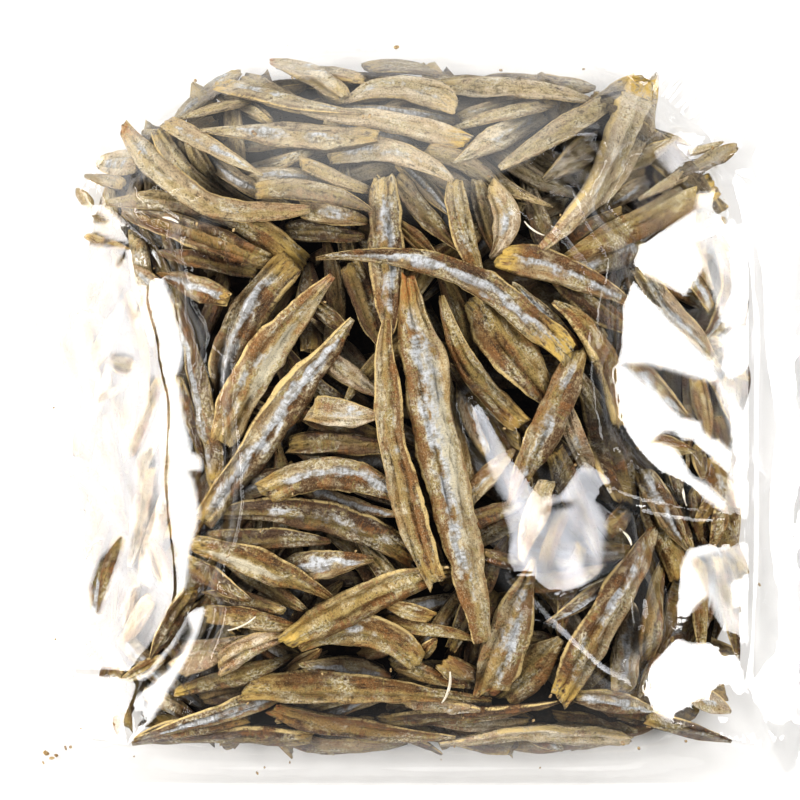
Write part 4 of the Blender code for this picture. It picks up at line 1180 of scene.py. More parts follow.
def lay_loose_fish(shoals, bed, layers, draw, detail):
    """Fish wherever the face of the heap is still bare, layer by layer."""
    for number, tries, depth, bare, outermost, turn, lengths, widths in layers:
        laid = 0
        places = bed.bare_places(depth, outermost)
        for _ in range(tries):
            if laid == number or not len(places):
                break
            cell = tuple(places[draw.randrange(len(places))])
            row = loose_row(draw, float(bed.x[cell]), float(bed.y[cell]), turn, lengths, widths)
            x, y = middle_line(*row[1:6], LINE)
            if bed.bare_share(x, y, depth) > bare and heap_share(x, y) < LOOSE_OUTERMOST:
                laid += 1
                make_fish(shoals[row[0]], row, bed, depth, draw, detail)
                places = bed.bare_places(depth, outermost)


def heap_share(x, y):
    """The furthest that a line reaches, as a share of the heap's outline."""
    return np.max(from_middle(x, y)[1])


def lay_flank_fish(shoals, bed, draw, detail):
    """Fish that lie about the heap's edge."""
    for number in range(FLANK_FISH):
        angle = 2 * math.pi * (number + draw.uniform(-0.4, 0.4)) / FLANK_FISH
        row = loose_row(draw, *heap_place(angle, draw.uniform(*FLANK_SHARES)), *FLANK_LAYER)
        if heap_share(*middle_line(*row[1:6], LINE)) < FLANK_OUTERMOST:
            make_fish(shoals[row[0]], row, bed, draw.uniform(0, 2), draw, detail)


# Node helpers

def add_node(tree, kind, values=None, **settings):
    """A node with its settings, and with its inputs set or linked."""
    made = tree.nodes.new(kind)
    for name, value in settings.items():
        setattr(made, name, value)
    for name, value in (values or {}).items():
        if isinstance(value, bpy.types.NodeSocket):
            tree.links.new(value, made.inputs[name])
        else:
            made.inputs[name].default_value = value
    return made


def calculate(tree, operation, first, second=0.0, third=0.0, clamp=False):
    """A Math node's result."""
    values = {0: first, 1: second, 2: third}
    return add_node(tree, "ShaderNodeMath", values, operation=operation, use_clamp=clamp).outputs[0]


def weighed(tree, *shares):
    """The sum of values, each times its weight; a bare number is added as it is."""
    total = 0.0
    for share in shares:
        value, weight = share if isinstance(share, tuple) else (share, 1.0)
        total = calculate(tree, "MULTIPLY_ADD", value, weight, total)
    return total


def blended(tree, factor, low, high):
    """Two colours mixed, through a Mix node's colour sockets."""
    values = {0: factor, 6: low, 7: high}
    return add_node(tree, "ShaderNodeMix", values, data_type="RGBA", clamp_factor=True).outputs[2]


def ramp(tree, value, low, high):
    """A value's smooth way from 0 at low to 1 at high."""
    values = {"Value": value, "From Min": low, "From Max": high, "To Min": 0.0, "To Max": 1.0}
    return add_node(tree, "ShaderNodeMapRange", values, interpolation_type="SMOOTHSTEP").outputs[0]


def grain(tree, place, stretch, detail, roughness=0.6):
    """Noise over a place, stretched by a scale along each axis."""
    scaled = add_node(tree, "ShaderNodeVectorMath", {0: place, 1: stretch}, operation="MULTIPLY").outputs[0]
    values = {"Vector": scaled, "Scale": 1.0, "Detail": detail, "Roughness": roughness}
    return add_node(tree, "ShaderNodeTexNoise", values, noise_dimensions="3D").outputs["Fac"]


def new_group(name, inputs, outputs):
    """An empty shader node group with named inputs and outputs, and its two ends."""
    group = bpy.data.node_groups.new(name, "ShaderNodeTree")
    for socket, kind in inputs:
        group.interface.new_socket(name=socket, in_out="INPUT", socket_type=kind)
    for socket, kind in outputs:
        group.interface.new_socket(name=socket, in_out="OUTPUT", socket_type=kind)
    return group, group.nodes.new("NodeGroupInput").outputs, group.nodes.new("NodeGroupOutput").inputs


# The colours that a skin is painted with: the ones that each kind of fish has of its own, and the others
KIND_COLOURS = ("Skin", "Back", "Light")
SHARED_COLOURS = ("Shade", "Dull", "Warm", "Rim", "Olive", "Tarnish", "Silver", "White", "Rust", "Gold")

COLOUR_SOCKET = "NodeSocketColor"
NUMBER_SOCKET = "NodeSocketFloat"
SHADOW_COLOUR = (0.012, 0.007, 0.004, 1)


class SkinPaint:
    """Nodes that paint a dried fish's skin in a group, coat over coat."""

    def __init__(self, group, given):
        """given holds the group's colours, by name."""
        self.group = group
        self.given = given
        self.colour = given["Skin"]

        # Grain at several sizes, from long reaches of the skin down to speckles
        place = add_node(group, "ShaderNodeAttribute", attribute_name="lay").outputs["Vector"]
        self.fibres = grain(group, place, (0.22, 1.5, 1.5), 2)
        self.mottle = grain(group, place, (0.45, 0.6, 0.6), 3)
        self.patches = grain(group, place, (0.16, 0.32, 0.32), 1)
        self.reaches = grain(group, place, (0.12, 0.2, 0.2), 1)
        self.bars = grain(group, place, (1.3, 0.45, 0.45), 2)
        self.fine = grain(group, place, (1.4, 1.8, 1.8), 2, 0.6)
        self.speckle = grain(group, place, (2.6, 3.2, 3.2), 2, 0.7)
        self.specks = grain(group, place, (1.7, 2.2, 2.2), 1, 0.3)

        self.tone = self.mark("tone")
        self.side = self.sum(self.mark("side"), (self.patches, 1.3), (self.mottle, 0.7), -1.0)
        lengthwise = calculate(group, "ABSOLUTE", self.sum(self.side, (self.reaches, 0.7), -0.4))
        self.band = self.step(lengthwise, 0.42, 0.1)
        silvery = (self.mark("silver"), 0.8)
        unflaked = self.sum((self.patches, 0.75), (self.mottle, 0.5), (self.fine, 0.15), silvery)
        self.silver = self.times(self.band, self.step(unflaked, 1.14, 1.4))

    def mark(self, name):
        """A value that a fish's mesh carries."""
        return add_node(self.group, "ShaderNodeAttribute", attribute_name=name).outputs["Fac"]

    def times(self, first, second):
        return calculate(self.group, "MULTIPLY", first, second)

    def sum(self, *shares):
        return weighed(self.group, *shares)

    def step(self, value, low, high):
        return ramp(self.group, value, low, high)

    def coat(self, colour, mask, strength=None):
        """A colour, or the given one of that name, over what is there, where a mask lets it through."""
        colour = self.given[colour] if isinstance(colour, str) else colour
        mask = mask if strength is None else self.times(mask, strength)
        self.colour = blended(self.group, mask, self.colour, colour)

    def paint_flesh(self):
        """Dark back, light belly flap and broad patches of other hues, under a painted haze of light towards
        the upper seal.
        """
        self.coat("Warm", self.step(self.mark("hue"), 0.55, 0.95), 0.55)
        self.coat("Back", self.step(self.side, 0.1, -0.4), 0.85)
        flap = self.times(self.step(self.side, 0.3, 0.62), self.step(self.reaches, 0.38, 0.56))
        self.coat("Light", flap, 0.75)
        self.coat("Dull", self.step(self.sum((self.reaches, 0.6), (self.mottle, 0.4)), 0.5, 0.58), 0.5)
        self.coat("Warm", self.step(self.sum((self.patches, 0.6), (self.bars, 0.4)), 0.48, 0.38), 0.6)
        self.coat("Olive", self.step(self.sum((self.reaches, 0.5), (self.bars, 0.5)), 0.53, 0.62), 0.6)
        # A painted haze of light, in rim and white, that pales the fish towards the upper seal
        self.coat("Rim", self.mark("faded"), 0.28)
        self.coat("White", self.mark("faded"), 0.3)

    def paint_folds(self):
        """Painted shade in the furrows and painted light on the ridges."""
        furrows = self.sum((self.fibres, 0.8), (self.mottle, 0.8), (self.fine, 0.3), (self.tone, 0.16))
        self.coat("Shade", self.step(furrows, 1.02, 0.74), 0.8)
        ridges = self.sum((self.patches, 0.7), (self.mottle, 0.8), (self.fine, 0.4), (self.tone, 0.12))
        self.coat("Light", self.step(ridges, 1.04, 1.26), 0.7)
        self.coat("Olive", self.band, 0.35)

    def paint_flecks(self):
        """Dark flecks, white patches, salt crust and speckles."""
        fleck = self.times(self.step(self.specks, 0.36, 0.27), self.sum(0.3, (self.band, 0.35)))
        self.coat("Shade", fleck)
        white = self.sum((self.patches, 0.5), (self.mottle, 0.6), (self.fine, 0.3), self.mark("white_patch"))
        self.coat("White", self.step(white, 1.0, 1.4), 0.8)
        crust = self.step(self.sum((self.reaches, 0.6), (self.patches, 0.4)), 0.5, 0.6)
        self.coat("White", self.times(crust, self.step(self.fine, 0.46, 0.62)), 0.6)
        self.coat("Light", self.step(self.speckle, 0.53, 0.68), 0.5)
        self.coat("Shade", self.step(self.speckle, 0.46, 0.32), 0.55)

    def paint_silver(self):
        """The silver side, flaked off in places."""
        shine = self.step(self.sum((self.bars, 0.5), (self.fine, 0.25), (self.mottle, 0.25)), 0.42, 0.56)
        sheen = blended(self.group, shine, self.given["Tarnish"], self.given["Silver"])
        self.coat(sheen, self.silver, 0.88)

    def paint_edges(self):
        """A dark line inside the gold rim, the rim itself, partly a painted highlight on the edge towards the
        light, and the gold or rusty ends.
        """
        rim = self.mark("rim")
        line = self.times(self.step(rim, 0.66, 0.8), self.step(rim, 0.95, 0.84))
        self.coat("Back", self.times(line, self.step(self.mottle, 0.4, 0.6)), 0.6)
        broken = self.step(self.sum((self.patches, 0.6), (self.fine, 0.4)), 0.38, 0.56)
        self.coat("Rim", self.times(self.step(rim, 0.84, 0.95), broken))
        yellowed = self.step(self.sum((self.fibres, 0.5), (self.mottle, 0.5)), 0.4, 0.55)
        self.coat("Gold", self.times(self.mark("gold_end"), yellowed))
        rusted = self.step(self.sum((self.mottle, 0.6), (self.fine, 0.4)), 0.42, 0.6)
        self.coat("Rust", self.times(self.mark("rust"), rusted), 0.8)

    def paint_shadow(self):
        """Painted shade inside the neck and the slit, and deep in the heap under the film."""
        self.coat(SHADOW_COLOUR, self.sum((self.mark("hollow"), 0.8), (self.mark("deep"), 0.7)))


def dried_skin_group():
    """The skin of a dried fish: mottled, fibrous, with a broken silver side, gold rims, white and rust."""
    inputs = [(name, COLOUR_SOCKET) for name in KIND_COLOURS + SHARED_COLOURS]
    outputs = (("Color", COLOUR_SOCKET), ("Roughness", NUMBER_SOCKET), ("Metal", NUMBER_SOCKET),
               ("Height", NUMBER_SOCKET))
    group, given, result = new_group("dried skin", inputs, outputs)
    paint = SkinPaint(group, given)
    paint.paint_flesh()
    paint.paint_folds()
    paint.paint_flecks()
    paint.paint_silver()
    paint.paint_edges()
    paint.paint_shadow()
    height = paint.sum((paint.fibres, 0.7), (paint.fine, 0.9), (paint.mottle, 0.8), (paint.speckle, 0.4))
    group.links.new(paint.colour, result["Color"])
    group.links.new(paint.sum(0.56, (paint.silver, -0.2), (paint.fine, 0.1)), result["Roughness"])
    group.links.new(paint.times(paint.silver, 0.35), result["Metal"])
    group.links.new(height, result["Height"])
    return group


def new_finish(name):
    """A material, its nodes and its shader."""
    finish = bpy.data.materials.new(name)
    finish.use_nodes = True
    return finish, finish.node_tree, finish.node_tree.nodes["Principled BSDF"]


def add_relief(tree, shader, height, strength, distance):
    """Fine relief of a surface, as high as a distance in metres."""
    values = {"Height": height, "Strength": strength, "Distance": distance}
    relief = add_node(tree, "ShaderNodeBump", values)
    tree.links.new(relief.outputs["Normal"], shader.inputs["Normal"])


def fish_finish(name, colours, group):
    """The finish of one kind of fish."""
    finish, tree, shader = new_finish(name)
    skin = add_node(tree, "ShaderNodeGroup", node_tree=group)
    for socket, colour in colours.items():
        skin.inputs[socket].default_value = (*colour, 1)
    tree.links.new(skin.outputs["Color"], shader.inputs["Base Color"])
    tree.links.new(skin.outputs["Roughness"], shader.inputs["Roughness"])
    tree.links.new(skin.outputs["Metal"], shader.inputs["Metallic"])
    add_relief(tree, shader, skin.outputs["Height"], 0.9, 0.001)
    shader.inputs["Specular IOR Level"].default_value = 0.3
    return finish


def film_finish(look):
    """Clear film: what lies behind it shows, under the gloss of its two faces."""
    finish, tree, gloss = new_finish("clear film")
    gloss.inputs["Base Color"].default_value = (1, 1, 1, 1)
    gloss.inputs["Metallic"].default_value = 1
    gloss.inputs["Roughness"].default_value = look.roughness
    clear = add_node(tree, "ShaderNodeBsdfTransparent", {"Color": (*look.tint, 1)})
    behind = add_node(tree, "ShaderNodeNewGeometry").outputs["Backfacing"]
    index = ramp(tree, behind, 0.0, 1.0).node
    index.interpolation_type = "LINEAR"
    index.inputs["To Min"].default_value = look.index
    index.inputs["To Max"].default_value = 1 / look.index
    mirror = add_node(tree, "ShaderNodeFresnel", {"IOR": index.outputs[0]}).outputs[0]
    kept = add_node(tree, "ShaderNodeAttribute", attribute_name="gloss").outputs["Fac"]
    share = calculate(tree, "MULTIPLY", calculate(tree, "MULTIPLY", mirror, look.faces), kept, clamp=True)
    place = add_node(tree, "ShaderNodeTexCoord").outputs["Object"]
    add_relief(tree, gloss, grain(tree, place, (90, 90, 90), 2), 0.15, 0.0006)
    mix = add_node(tree, "ShaderNodeMixShader", {0: share, 1: clear.outputs[0], 2: gloss.outputs[0]})
    tree.links.new(mix.outputs[0], tree.nodes["Material Output"].inputs["Surface"])
    return finish


def plain_finish(name, light, dark, roughness, scale):
    """A grainy finish of two colours, for the floor, the heap's middle in painted shade, crumbs and bones."""
    finish, tree, shader = new_finish(name)
    place = add_node(tree, "ShaderNodeTexCoord").outputs["Object"]
    mottle = grain(tree, place, (scale, scale, scale), 4)
    colour = blended(tree, ramp(tree, mottle, 0.35, 0.65), (*dark, 1), (*light, 1))
    tree.links.new(colour, shader.inputs["Base Color"])
    add_relief(tree, shader, mottle, 0.6, 0.0008)
    shader.inputs["Roughness"].default_value = roughness
    shader.inputs["Specular IOR Level"].default_value = 0.15
    return finish


def colour_property(name, description, default):
    return FloatVectorProperty(
        name=name, description=description, subtype="COLOR", size=3, min=0, max=1, default=default)


class FilmLook(bpy.types.PropertyGroup):
    """The clear film."""
    roughness: FloatProperty(
        name="Roughness", description="Roughness of the gloss", default=0.04, min=0, max=1)
    index: FloatProperty(
        name="Index", description="Refractive index of the film", default=1.54, min=1, max=3)
    faces: FloatProperty(
        name="Faces", description="Faces that mirror at each crossing", default=2, min=1, max=4)
    tint: colour_property("Tint", "What the film lets through", (0.99, 0.987, 0.98))


class FishLook(bpy.types.PropertyGroup):
    """The colours of the fish."""
    # Each kind's light colour is its lighter flesh, and also the painted light on the ridges of its folds
    silver_skin: colour_property("Silver, skin", "Skin of silver fish", shown(124, 96, 55))
    silver_back: colour_property("Silver, back", "Back of silver fish", shown(82, 52, 25))
    silver_light: colour_property("Silver, light", "Lighter flesh of silver fish", shown(186, 166, 124))
    cream_skin: colour_property("Cream, skin", "Skin of cream fish", shown(168, 139, 88))
    cream_back: colour_property("Cream, back", "Back of cream fish", shown(124, 84, 41))
    cream_light: colour_property("Cream, light", "Lighter flesh of cream fish", shown(206, 188, 148))
    gold_skin: colour_property("Gold, skin", "Skin of gold fish", shown(142, 112, 58))
    gold_back: colour_property("Gold, back", "Back of gold fish", shown(103, 68, 30))
    gold_light: colour_property("Gold, light", "Lighter flesh of gold fish", shown(192, 168, 112))
    brown_skin: colour_property("Brown, skin", "Skin of brown fish", shown(90, 62, 35))
    brown_back: colour_property("Brown, back", "Back of brown fish", shown(64, 42, 23))
    brown_light: colour_property("Brown, light", "Lighter flesh of brown fish", shown(142, 115, 78))
    pale_skin: colour_property("Pale, skin", "Skin of pale fish", shown(206, 184, 148))
    pale_back: colour_property("Pale, back", "Back of pale fish", shown(166, 140, 106))
    pale_light: colour_property("Pale, light", "Lighter flesh of pale fish", shown(234, 220, 194))
    # Shade is the darkest skin, in flecks and speckles, and also the painted shade in the furrows of the
    # folds
    shade: colour_property("Shade", "Darkest skin of every fish", shown(42, 26, 13))
    dull: colour_property("Dull", "Greyish patches of skin", shown(146, 130, 104))
    warm: colour_property("Warm", "Orange brown patches of skin", shown(150, 98, 46))
    # Rim is the gold edge of every fish and partly a painted highlight, stronger on the edge that faces the
    # light
    rim: colour_property("Rim", "Thin edges of every fish", shown(226, 198, 134))
    olive: colour_property("Olive", "Yellowish skin", shown(168, 150, 84))
    tarnish: colour_property("Tarnish", "Duller silver along the side", shown(158, 158, 154))
    silver: colour_property("Silver side", "Brightest silver along the side", shown(216, 220, 226))
    # White is also used for the painted haze of light towards the upper seal
    white: colour_property("White", "Flesh and salt that dried white", shown(230, 222, 196))
    rust: colour_property("Rust", "Rust at some ends", shown(166, 92, 40))
    gold: colour_property("Gold end", "Clear yellow at some necks", shown(210, 176, 90))


class HeapSizes(bpy.types.PropertyGroup):
    """How finely and how fully the heap is made."""
    shown_detail: FloatProperty(
        name="Shown detail", description="Distance between rings of the fish that show",
        default=0.95 * MM, precision=5, unit="LENGTH")
    hidden_detail: FloatProperty(
        name="Hidden detail", description="Distance between rings of the other fish",
        default=2.2 * MM, precision=5, unit="LENGTH")
    core_depth: FloatProperty(
        name="Core depth", description="How deep the heap's dark middle lies",
        default=17 * MM, precision=4, unit="LENGTH")
    crumbs: IntProperty(name="Crumbs", description="Number of crumbs", default=170, min=0)


class StageLook(bpy.types.PropertyGroup):
    """Floor, lights and camera."""
    floor: colour_property("Floor", "Colour of the floor", (0.97, 0.97, 0.965))
    camera_height: FloatProperty(
        name="Camera height", description="Height of the camera above the table",
        default=EYE_HEIGHT, unit="LENGTH")
    view_width: FloatProperty(
        name="View width", description="Width of what the picture shows, just under the pouch's top",
        default=0.2, unit="LENGTH")
    softboxes: FloatProperty(
        name="Softboxes", description="How bright the softboxes are", default=1.3, min=0)
    room: FloatProperty(
        name="Room", description="How bright the room is", default=1.4, min=0)


class ANCHOVIES_OT_stage(bpy.types.Operator):
    """Pale floor, soft studio light and the camera that looks straight down"""
    bl_idname = "anchovies.stage"
    bl_label = "Stage"

    def execute(self, context):
        look = context.scene.anchovies_stage
        context.scene.view_settings.view_transform = "Standard"
        self.lay_floor(look)
        self.hang_softboxes(context, look)
        self.light_room(context, look)
        self.place_camera(context, look)
        return {"FINISHED"}

    def lay_floor(self, look):
        """A wide pale floor."""
        corners = np.array([(-1, -1, 0), (1, -1, 0), (1, 1, 0), (-1, 1, 0)]) * HALF_FLOOR / MM
        mesh = mesh_from_arrays("floor", corners, np.arange(4), np.array([4]))
        mesh.materials.append(plain_finish("pale floor", look.floor, look.floor, 0.9, 20))
        floor = linked("floor", mesh)

    def hang_softboxes(self, context, look):
        """The softboxes that the film mirrors, each turned to the pouch."""
        for box, (turn, lean, breadth, depth, radiance) in SOFTBOXES.items():
            if not radiance:
                continue
            light = bpy.data.lights.new(f"{box} softbox", "AREA")
            light.shape = "RECTANGLE"
            light.size = breadth
            light.size_y = depth
            light.energy = look.softboxes * radiance * math.pi * breadth * depth
            light.color = BOX_COLOURS[box]
            lamp = bpy.data.objects.new(light.name, light)
            context.scene.collection.objects.link(lamp)
            toward = light_direction(turn, lean)
            lamp.location = toward * SOFTBOX_DISTANCE
            lamp.rotation_euler = toward.to_track_quat("Z", "Y").to_euler()

    def light_room(self, context, look):
        """A pale room that is darker overhead, with soft glows."""
        world = context.scene.world or bpy.data.worlds.new("studio")
        context.scene.world = world
        world.use_nodes = True
        tree = world.node_tree
        direction = add_node(tree, "ShaderNodeTexCoord").outputs["Generated"]
        up = add_node(tree, "ShaderNodeSeparateXYZ", {0: direction}).outputs["Z"]
        sky = blended(tree, ramp(tree, up, 0.15, 0.8), (0.45, 0.45, 0.45, 1), (0.03, 0.03, 0.035, 1))
        for turn, lean, reach, radiance in GLOWS:
            toward = light_direction(turn, lean)
            both = {0: direction, 1: toward}
            near = add_node(tree, "ShaderNodeVectorMath", both, operation="DOT_PRODUCT")
            glow = ramp(tree, near.outputs["Value"], math.cos(math.radians(reach)), 1.0)
            colour = (radiance, 0.99 * radiance, 0.97 * radiance, 1)
            sky = blended(tree, glow, sky, colour)
        tree.links.new(sky, tree.nodes["Background"].inputs["Color"])
        tree.nodes["Background"].inputs["Strength"].default_value = look.room

    def place_camera(self, context, look):
        """The camera, straight above the pouch."""
        camera = bpy.data.cameras.new("straight down")
        eye = bpy.data.objects.new(camera.name, camera)
        context.scene.collection.objects.link(eye)
        eye.location = (0, 0, look.camera_height)
        distance = look.camera_height - PICTURE_HEIGHT
        camera.lens = camera.sensor_width * distance / look.view_width
        context.scene.camera = eye


class ANCHOVIES_OT_film(bpy.types.Operator):
    """The clear film: an upper and a lower sheet that meet along the pouch's edges"""
    bl_idname = "anchovies.film"
    bl_label = "Clear film"

    CELL = 0.77
    OFF_TABLE = 0.02
    APART = 0.2

    def execute(self, context):
        columns = 2 * int((FILM_RIGHT - FILM_LEFT) / self.CELL / 2) + 1
        rows = 2 * int((FILM_TOP - FILM_BOTTOM) / self.CELL / 2) + 1
        across = np.linspace(FILM_LEFT, FILM_RIGHT, columns)
        along = np.linspace(FILM_BOTTOM, FILM_TOP, rows)
        x, y = self.rounded_corners(*np.meshgrid(across, along, indexing="ij"))
        lower = plain_lower_sheet(x, y) + self.OFF_TABLE
        upper = np.maximum(upper_sheet().at(x, y), lower + self.APART)
        top = np.stack((x, y, upper), -1)
        bottom = np.stack((x, y, lower), -1)[::2, ::2]
        up = np.arange(columns * rows).reshape(columns, rows)
        down = np.arange(bottom[..., 0].size).reshape(bottom.shape[:2]) + up.size
        up_faces = self.grid_faces(up)
        down_faces = self.grid_faces(down)[:, ::-1]
        upper_edge, lower_edge = self.edge(up), self.edge(down)
        join = np.stack((np.roll(upper_edge, -2)[::2], upper_edge[1::2], upper_edge[::2], lower_edge,
                         np.roll(lower_edge, -1)), -1)
        points = np.concatenate((top.reshape(-1, 3), bottom.reshape(-1, 3)))
        corners = np.concatenate((up_faces.ravel(), down_faces.ravel(), join.ravel()))
        sizes = np.concatenate((np.full(len(up_faces) + len(down_faces), 4), np.full(len(join), 5)))
        mesh = mesh_from_arrays("clear_film", points, corners, sizes)
        upper_gloss = upper_sheet().at(x, y, upper_sheet().gloss)
        gloss = np.concatenate((upper_gloss.ravel(), np.ones(down.size)))
        mesh.attributes.new("gloss", "FLOAT", "POINT").data.foreach_set("value", gloss.astype(np.float32))
        mesh.materials.append(film_finish(context.scene.anchovies_film))
        piece = linked("clear_film", mesh)
        finish_piece(piece)
        return {"FINISHED"}

    def grid_faces(self, number):
        """The four-sided faces between numbered points in rows."""
        faces = np.stack((number[:-1, :-1], number[1:, :-1], number[1:, 1:], number[:-1, 1:]), -1)
        return faces.reshape(-1, 4)

    def edge(self, number):
        """The numbered points in order round the rows' edge."""
        return np.concatenate((number[:-1, 0], number[-1, :-1], number[:0:-1, -1], number[0, :0:-1]))

    def rounded_corners(self, x, y):
        """The grid's places, drawn in towards the heap's middle at the pouch's corners."""
        across = x - HEAP_MIDDLE[0]
        along = y - HEAP_MIDDLE[1]
        half_width, half_length = film_half_sizes(across, along)
        out = np.maximum(np.maximum(np.abs(across) / half_width, np.abs(along) / half_length), 1e-6)
        reach = (np.abs(across / half_width / out) ** FILM_SQUARENESS
                 + np.abs(along / half_length / out) ** FILM_SQUARENESS) ** (-1 / FILM_SQUARENESS)
        scale = 1 + (reach - 1) * out ** 6
        return HEAP_MIDDLE[0] + across * scale, HEAP_MIDDLE[1] + along * scale


class ANCHOVIES_OT_fish(bpy.types.Operator):
    """Every fish, laid from the film inwards and gathered into one mesh for each kind"""
    bl_idname = "anchovies.fish"
    bl_label = "Dried fish"

    def execute(self, context):
        sizes = context.scene.anchovies_sizes
        look = context.scene.anchovies_fish
        shown_detail = sizes.shown_detail / MM
        hidden_detail = sizes.hidden_detail / MM
        shoals = {kind: Shoal() for kind in KINDS}
        draw = random.Random(FISH_SEED)
        top = Bed(upper_sheet().at, plain_lower_sheet, 1)
        for row in SHOWN_FISH:
            make_fish(shoals[row[0]], row, top, 0, draw, shown_detail)
        lay_flank_fish(shoals, top, draw, shown_detail)
        for row in DEEP_FISH:
            make_fish(shoals[row[0]], row, top, DEEP_FISH_DEPTH, draw, shown_detail)
        lay_loose_fish(shoals, top, GAP_LAYERS, draw, hidden_detail)
        below = Bed(plain_lower_sheet, upper_sheet().at, -1)
        lay_loose_fish(shoals, below, UNDERSIDE_LAYERS, draw, hidden_detail)

        group = dried_skin_group()
        shared = {name: getattr(look, name.lower()) for name in SHARED_COLOURS}
        for kind, shoal in shoals.items():
            colours = {name: getattr(look, f"{kind}_{name.lower()}") for name in KIND_COLOURS}
            finish = fish_finish(f"{kind} fish", colours | shared, group)
            finish_piece(shoal.piece(f"{kind}_fish", finish))
        return {"FINISHED"}


class ANCHOVIES_OT_core(bpy.types.Operator):
    """The heap's middle under the fish that are modelled, painted near black as shade where the deeper fish
    lie in shadow
    """
    bl_idname = "anchovies.core"
    bl_label = "Heap's middle"

    RINGS = 40
    SIDES = 120
    OUTERMOST = 0.9
    UNDERSIDE_DEPTH = 5.5

    def execute(self, context):
        depth = context.scene.anchovies_sizes.core_depth / MM
        rings, sides = self.RINGS, self.SIDES
        angle = (2 * math.pi * np.arange(sides) / sides)[None, :]
        share = np.linspace(1 / rings, 1, rings)[:, None] * self.OUTERMOST
        reach = share * heap_reach(angle)
        x = HEAP_MIDDLE[0] + reach * np.cos(angle)
        y = HEAP_MIDDLE[1] + reach * np.sin(angle)
        lumps = 1.1 * noise(x / 6, y / 6) + 0.5 * noise(x / 2.5 + 31, y / 2.5)
        low = plain_lower_sheet(x, y)
        high = upper_sheet().at(x, y)
        middle = 0.6 * low + 0.4 * high
        upper = np.maximum(high - depth + lumps, middle)
        lower = np.minimum(low + self.UNDERSIDE_DEPTH + lumps, middle)
        top = np.stack((x, y, upper), -1).reshape(-1, 3)
        bottom = np.stack((x, y, lower), -1).reshape(-1, 3)[:-sides]
        ring = np.arange(rings - 1)[:, None] * sides
        side = np.arange(sides)[None, :]
        after = (side + 1) % sides
        up = np.stack((ring + side, ring + sides + side, ring + sides + after, ring + after), -1)
        up = up.reshape(-1, 4)
        down = up[:-sides, ::-1] + rings * sides
        last = (2 * rings - 2) * sides + side[0]
        rim = (rings - 1) * sides + side[0]
        join = np.stack((last, last - side[0] + after[0], rim - side[0] + after[0], rim), -1)
        ends = (side[0], rings * sides + side[0][::-1])
        corners = np.concatenate((up.ravel(), down.ravel(), join.ravel(), *ends))
        sizes = np.concatenate((np.full(len(up) + len(down) + sides, 4), (sides, sides)))
        mesh = mesh_from_arrays("heap_middle", np.concatenate((top, bottom)), corners, sizes)
        # The middle's near-black colours are painted shade, for the deeper fish that the light doesn't reach
        dark = plain_finish("dark middle", (0.016, 0.009, 0.004), (0.003, 0.002, 0.001), 0.9, 700)
        mesh.materials.append(dark)
        piece = linked("heap_middle", mesh)
        finish_piece(piece)
        return {"FINISHED"}


# Crumbs that show, in the film's empty corner and about the heap: x, y, size
SHOWN_CRUMBS = (
    (-90.3, -90, 1.3), (-88.8, -91.3, 1.1), (-87.6, -90.6, 0.9), (-91, -92.5, 0.8), (-85.2, -88.6, 1.2),
    (-83.8, -88.3, 0.9), (-80.6, -83.2, 1.3), (-79.4, -83.8, 0.8), (-81.8, -81.8, 0.5), (-71.8, -82, 1.5),
    (-71.5, -84, 1.1), (-81.6, -56.6, 0.5), (-79.9, -61.4, 0.4), (-81.3, -63.2, 0.5), (-79.8, -64.6, 0.4),
    (-82.4, 19.2, 0.6), (-75.2, 10.4, 0.7), (-67.6, -90.6, 0.6), (-28, -92, 0.5), (10.4, -91.2, 0.4),
    (56.4, -86.8, 1.5), (60.5, -88.2, 1.2), (72.5, -86.5, 0.9), (75.2, -21, 0.8), (79, -42, 0.7),
)

# Loose bones against the film: ends, bow and width
BONES = (
    (55.7, -32.9, 57.8, -36.3, 0.4, 0.7),
    (71.2, -22.2, 72.2, -26.6, -0.3, 0.7),
    (12.5, -68, 10.5, -76, 0.8, 0.8),
    (-59.5, 45.8, -55.5, 44.4, 0.3, 0.9),
    (-78.5, -37, -74.5, -35, 0.5, 0.35),
    (-36, -54, -43, -57.5, 0.6, 0.5),
    (31, 44.5, 36, 41, -0.5, 0.5),
)


@functools.lru_cache(maxsize=None)
def round_lump():
    """Points and triangles of a rough ball of size 1."""
    shape = bmesh.new()
    bmesh.ops.create_icosphere(shape, subdivisions=2, radius=0.5)
    points = np.array([point.co[:] for point in shape.verts])
    corners = np.array([[point.index for point in face.verts] for face in shape.faces])
    shape.free()
    return points, corners


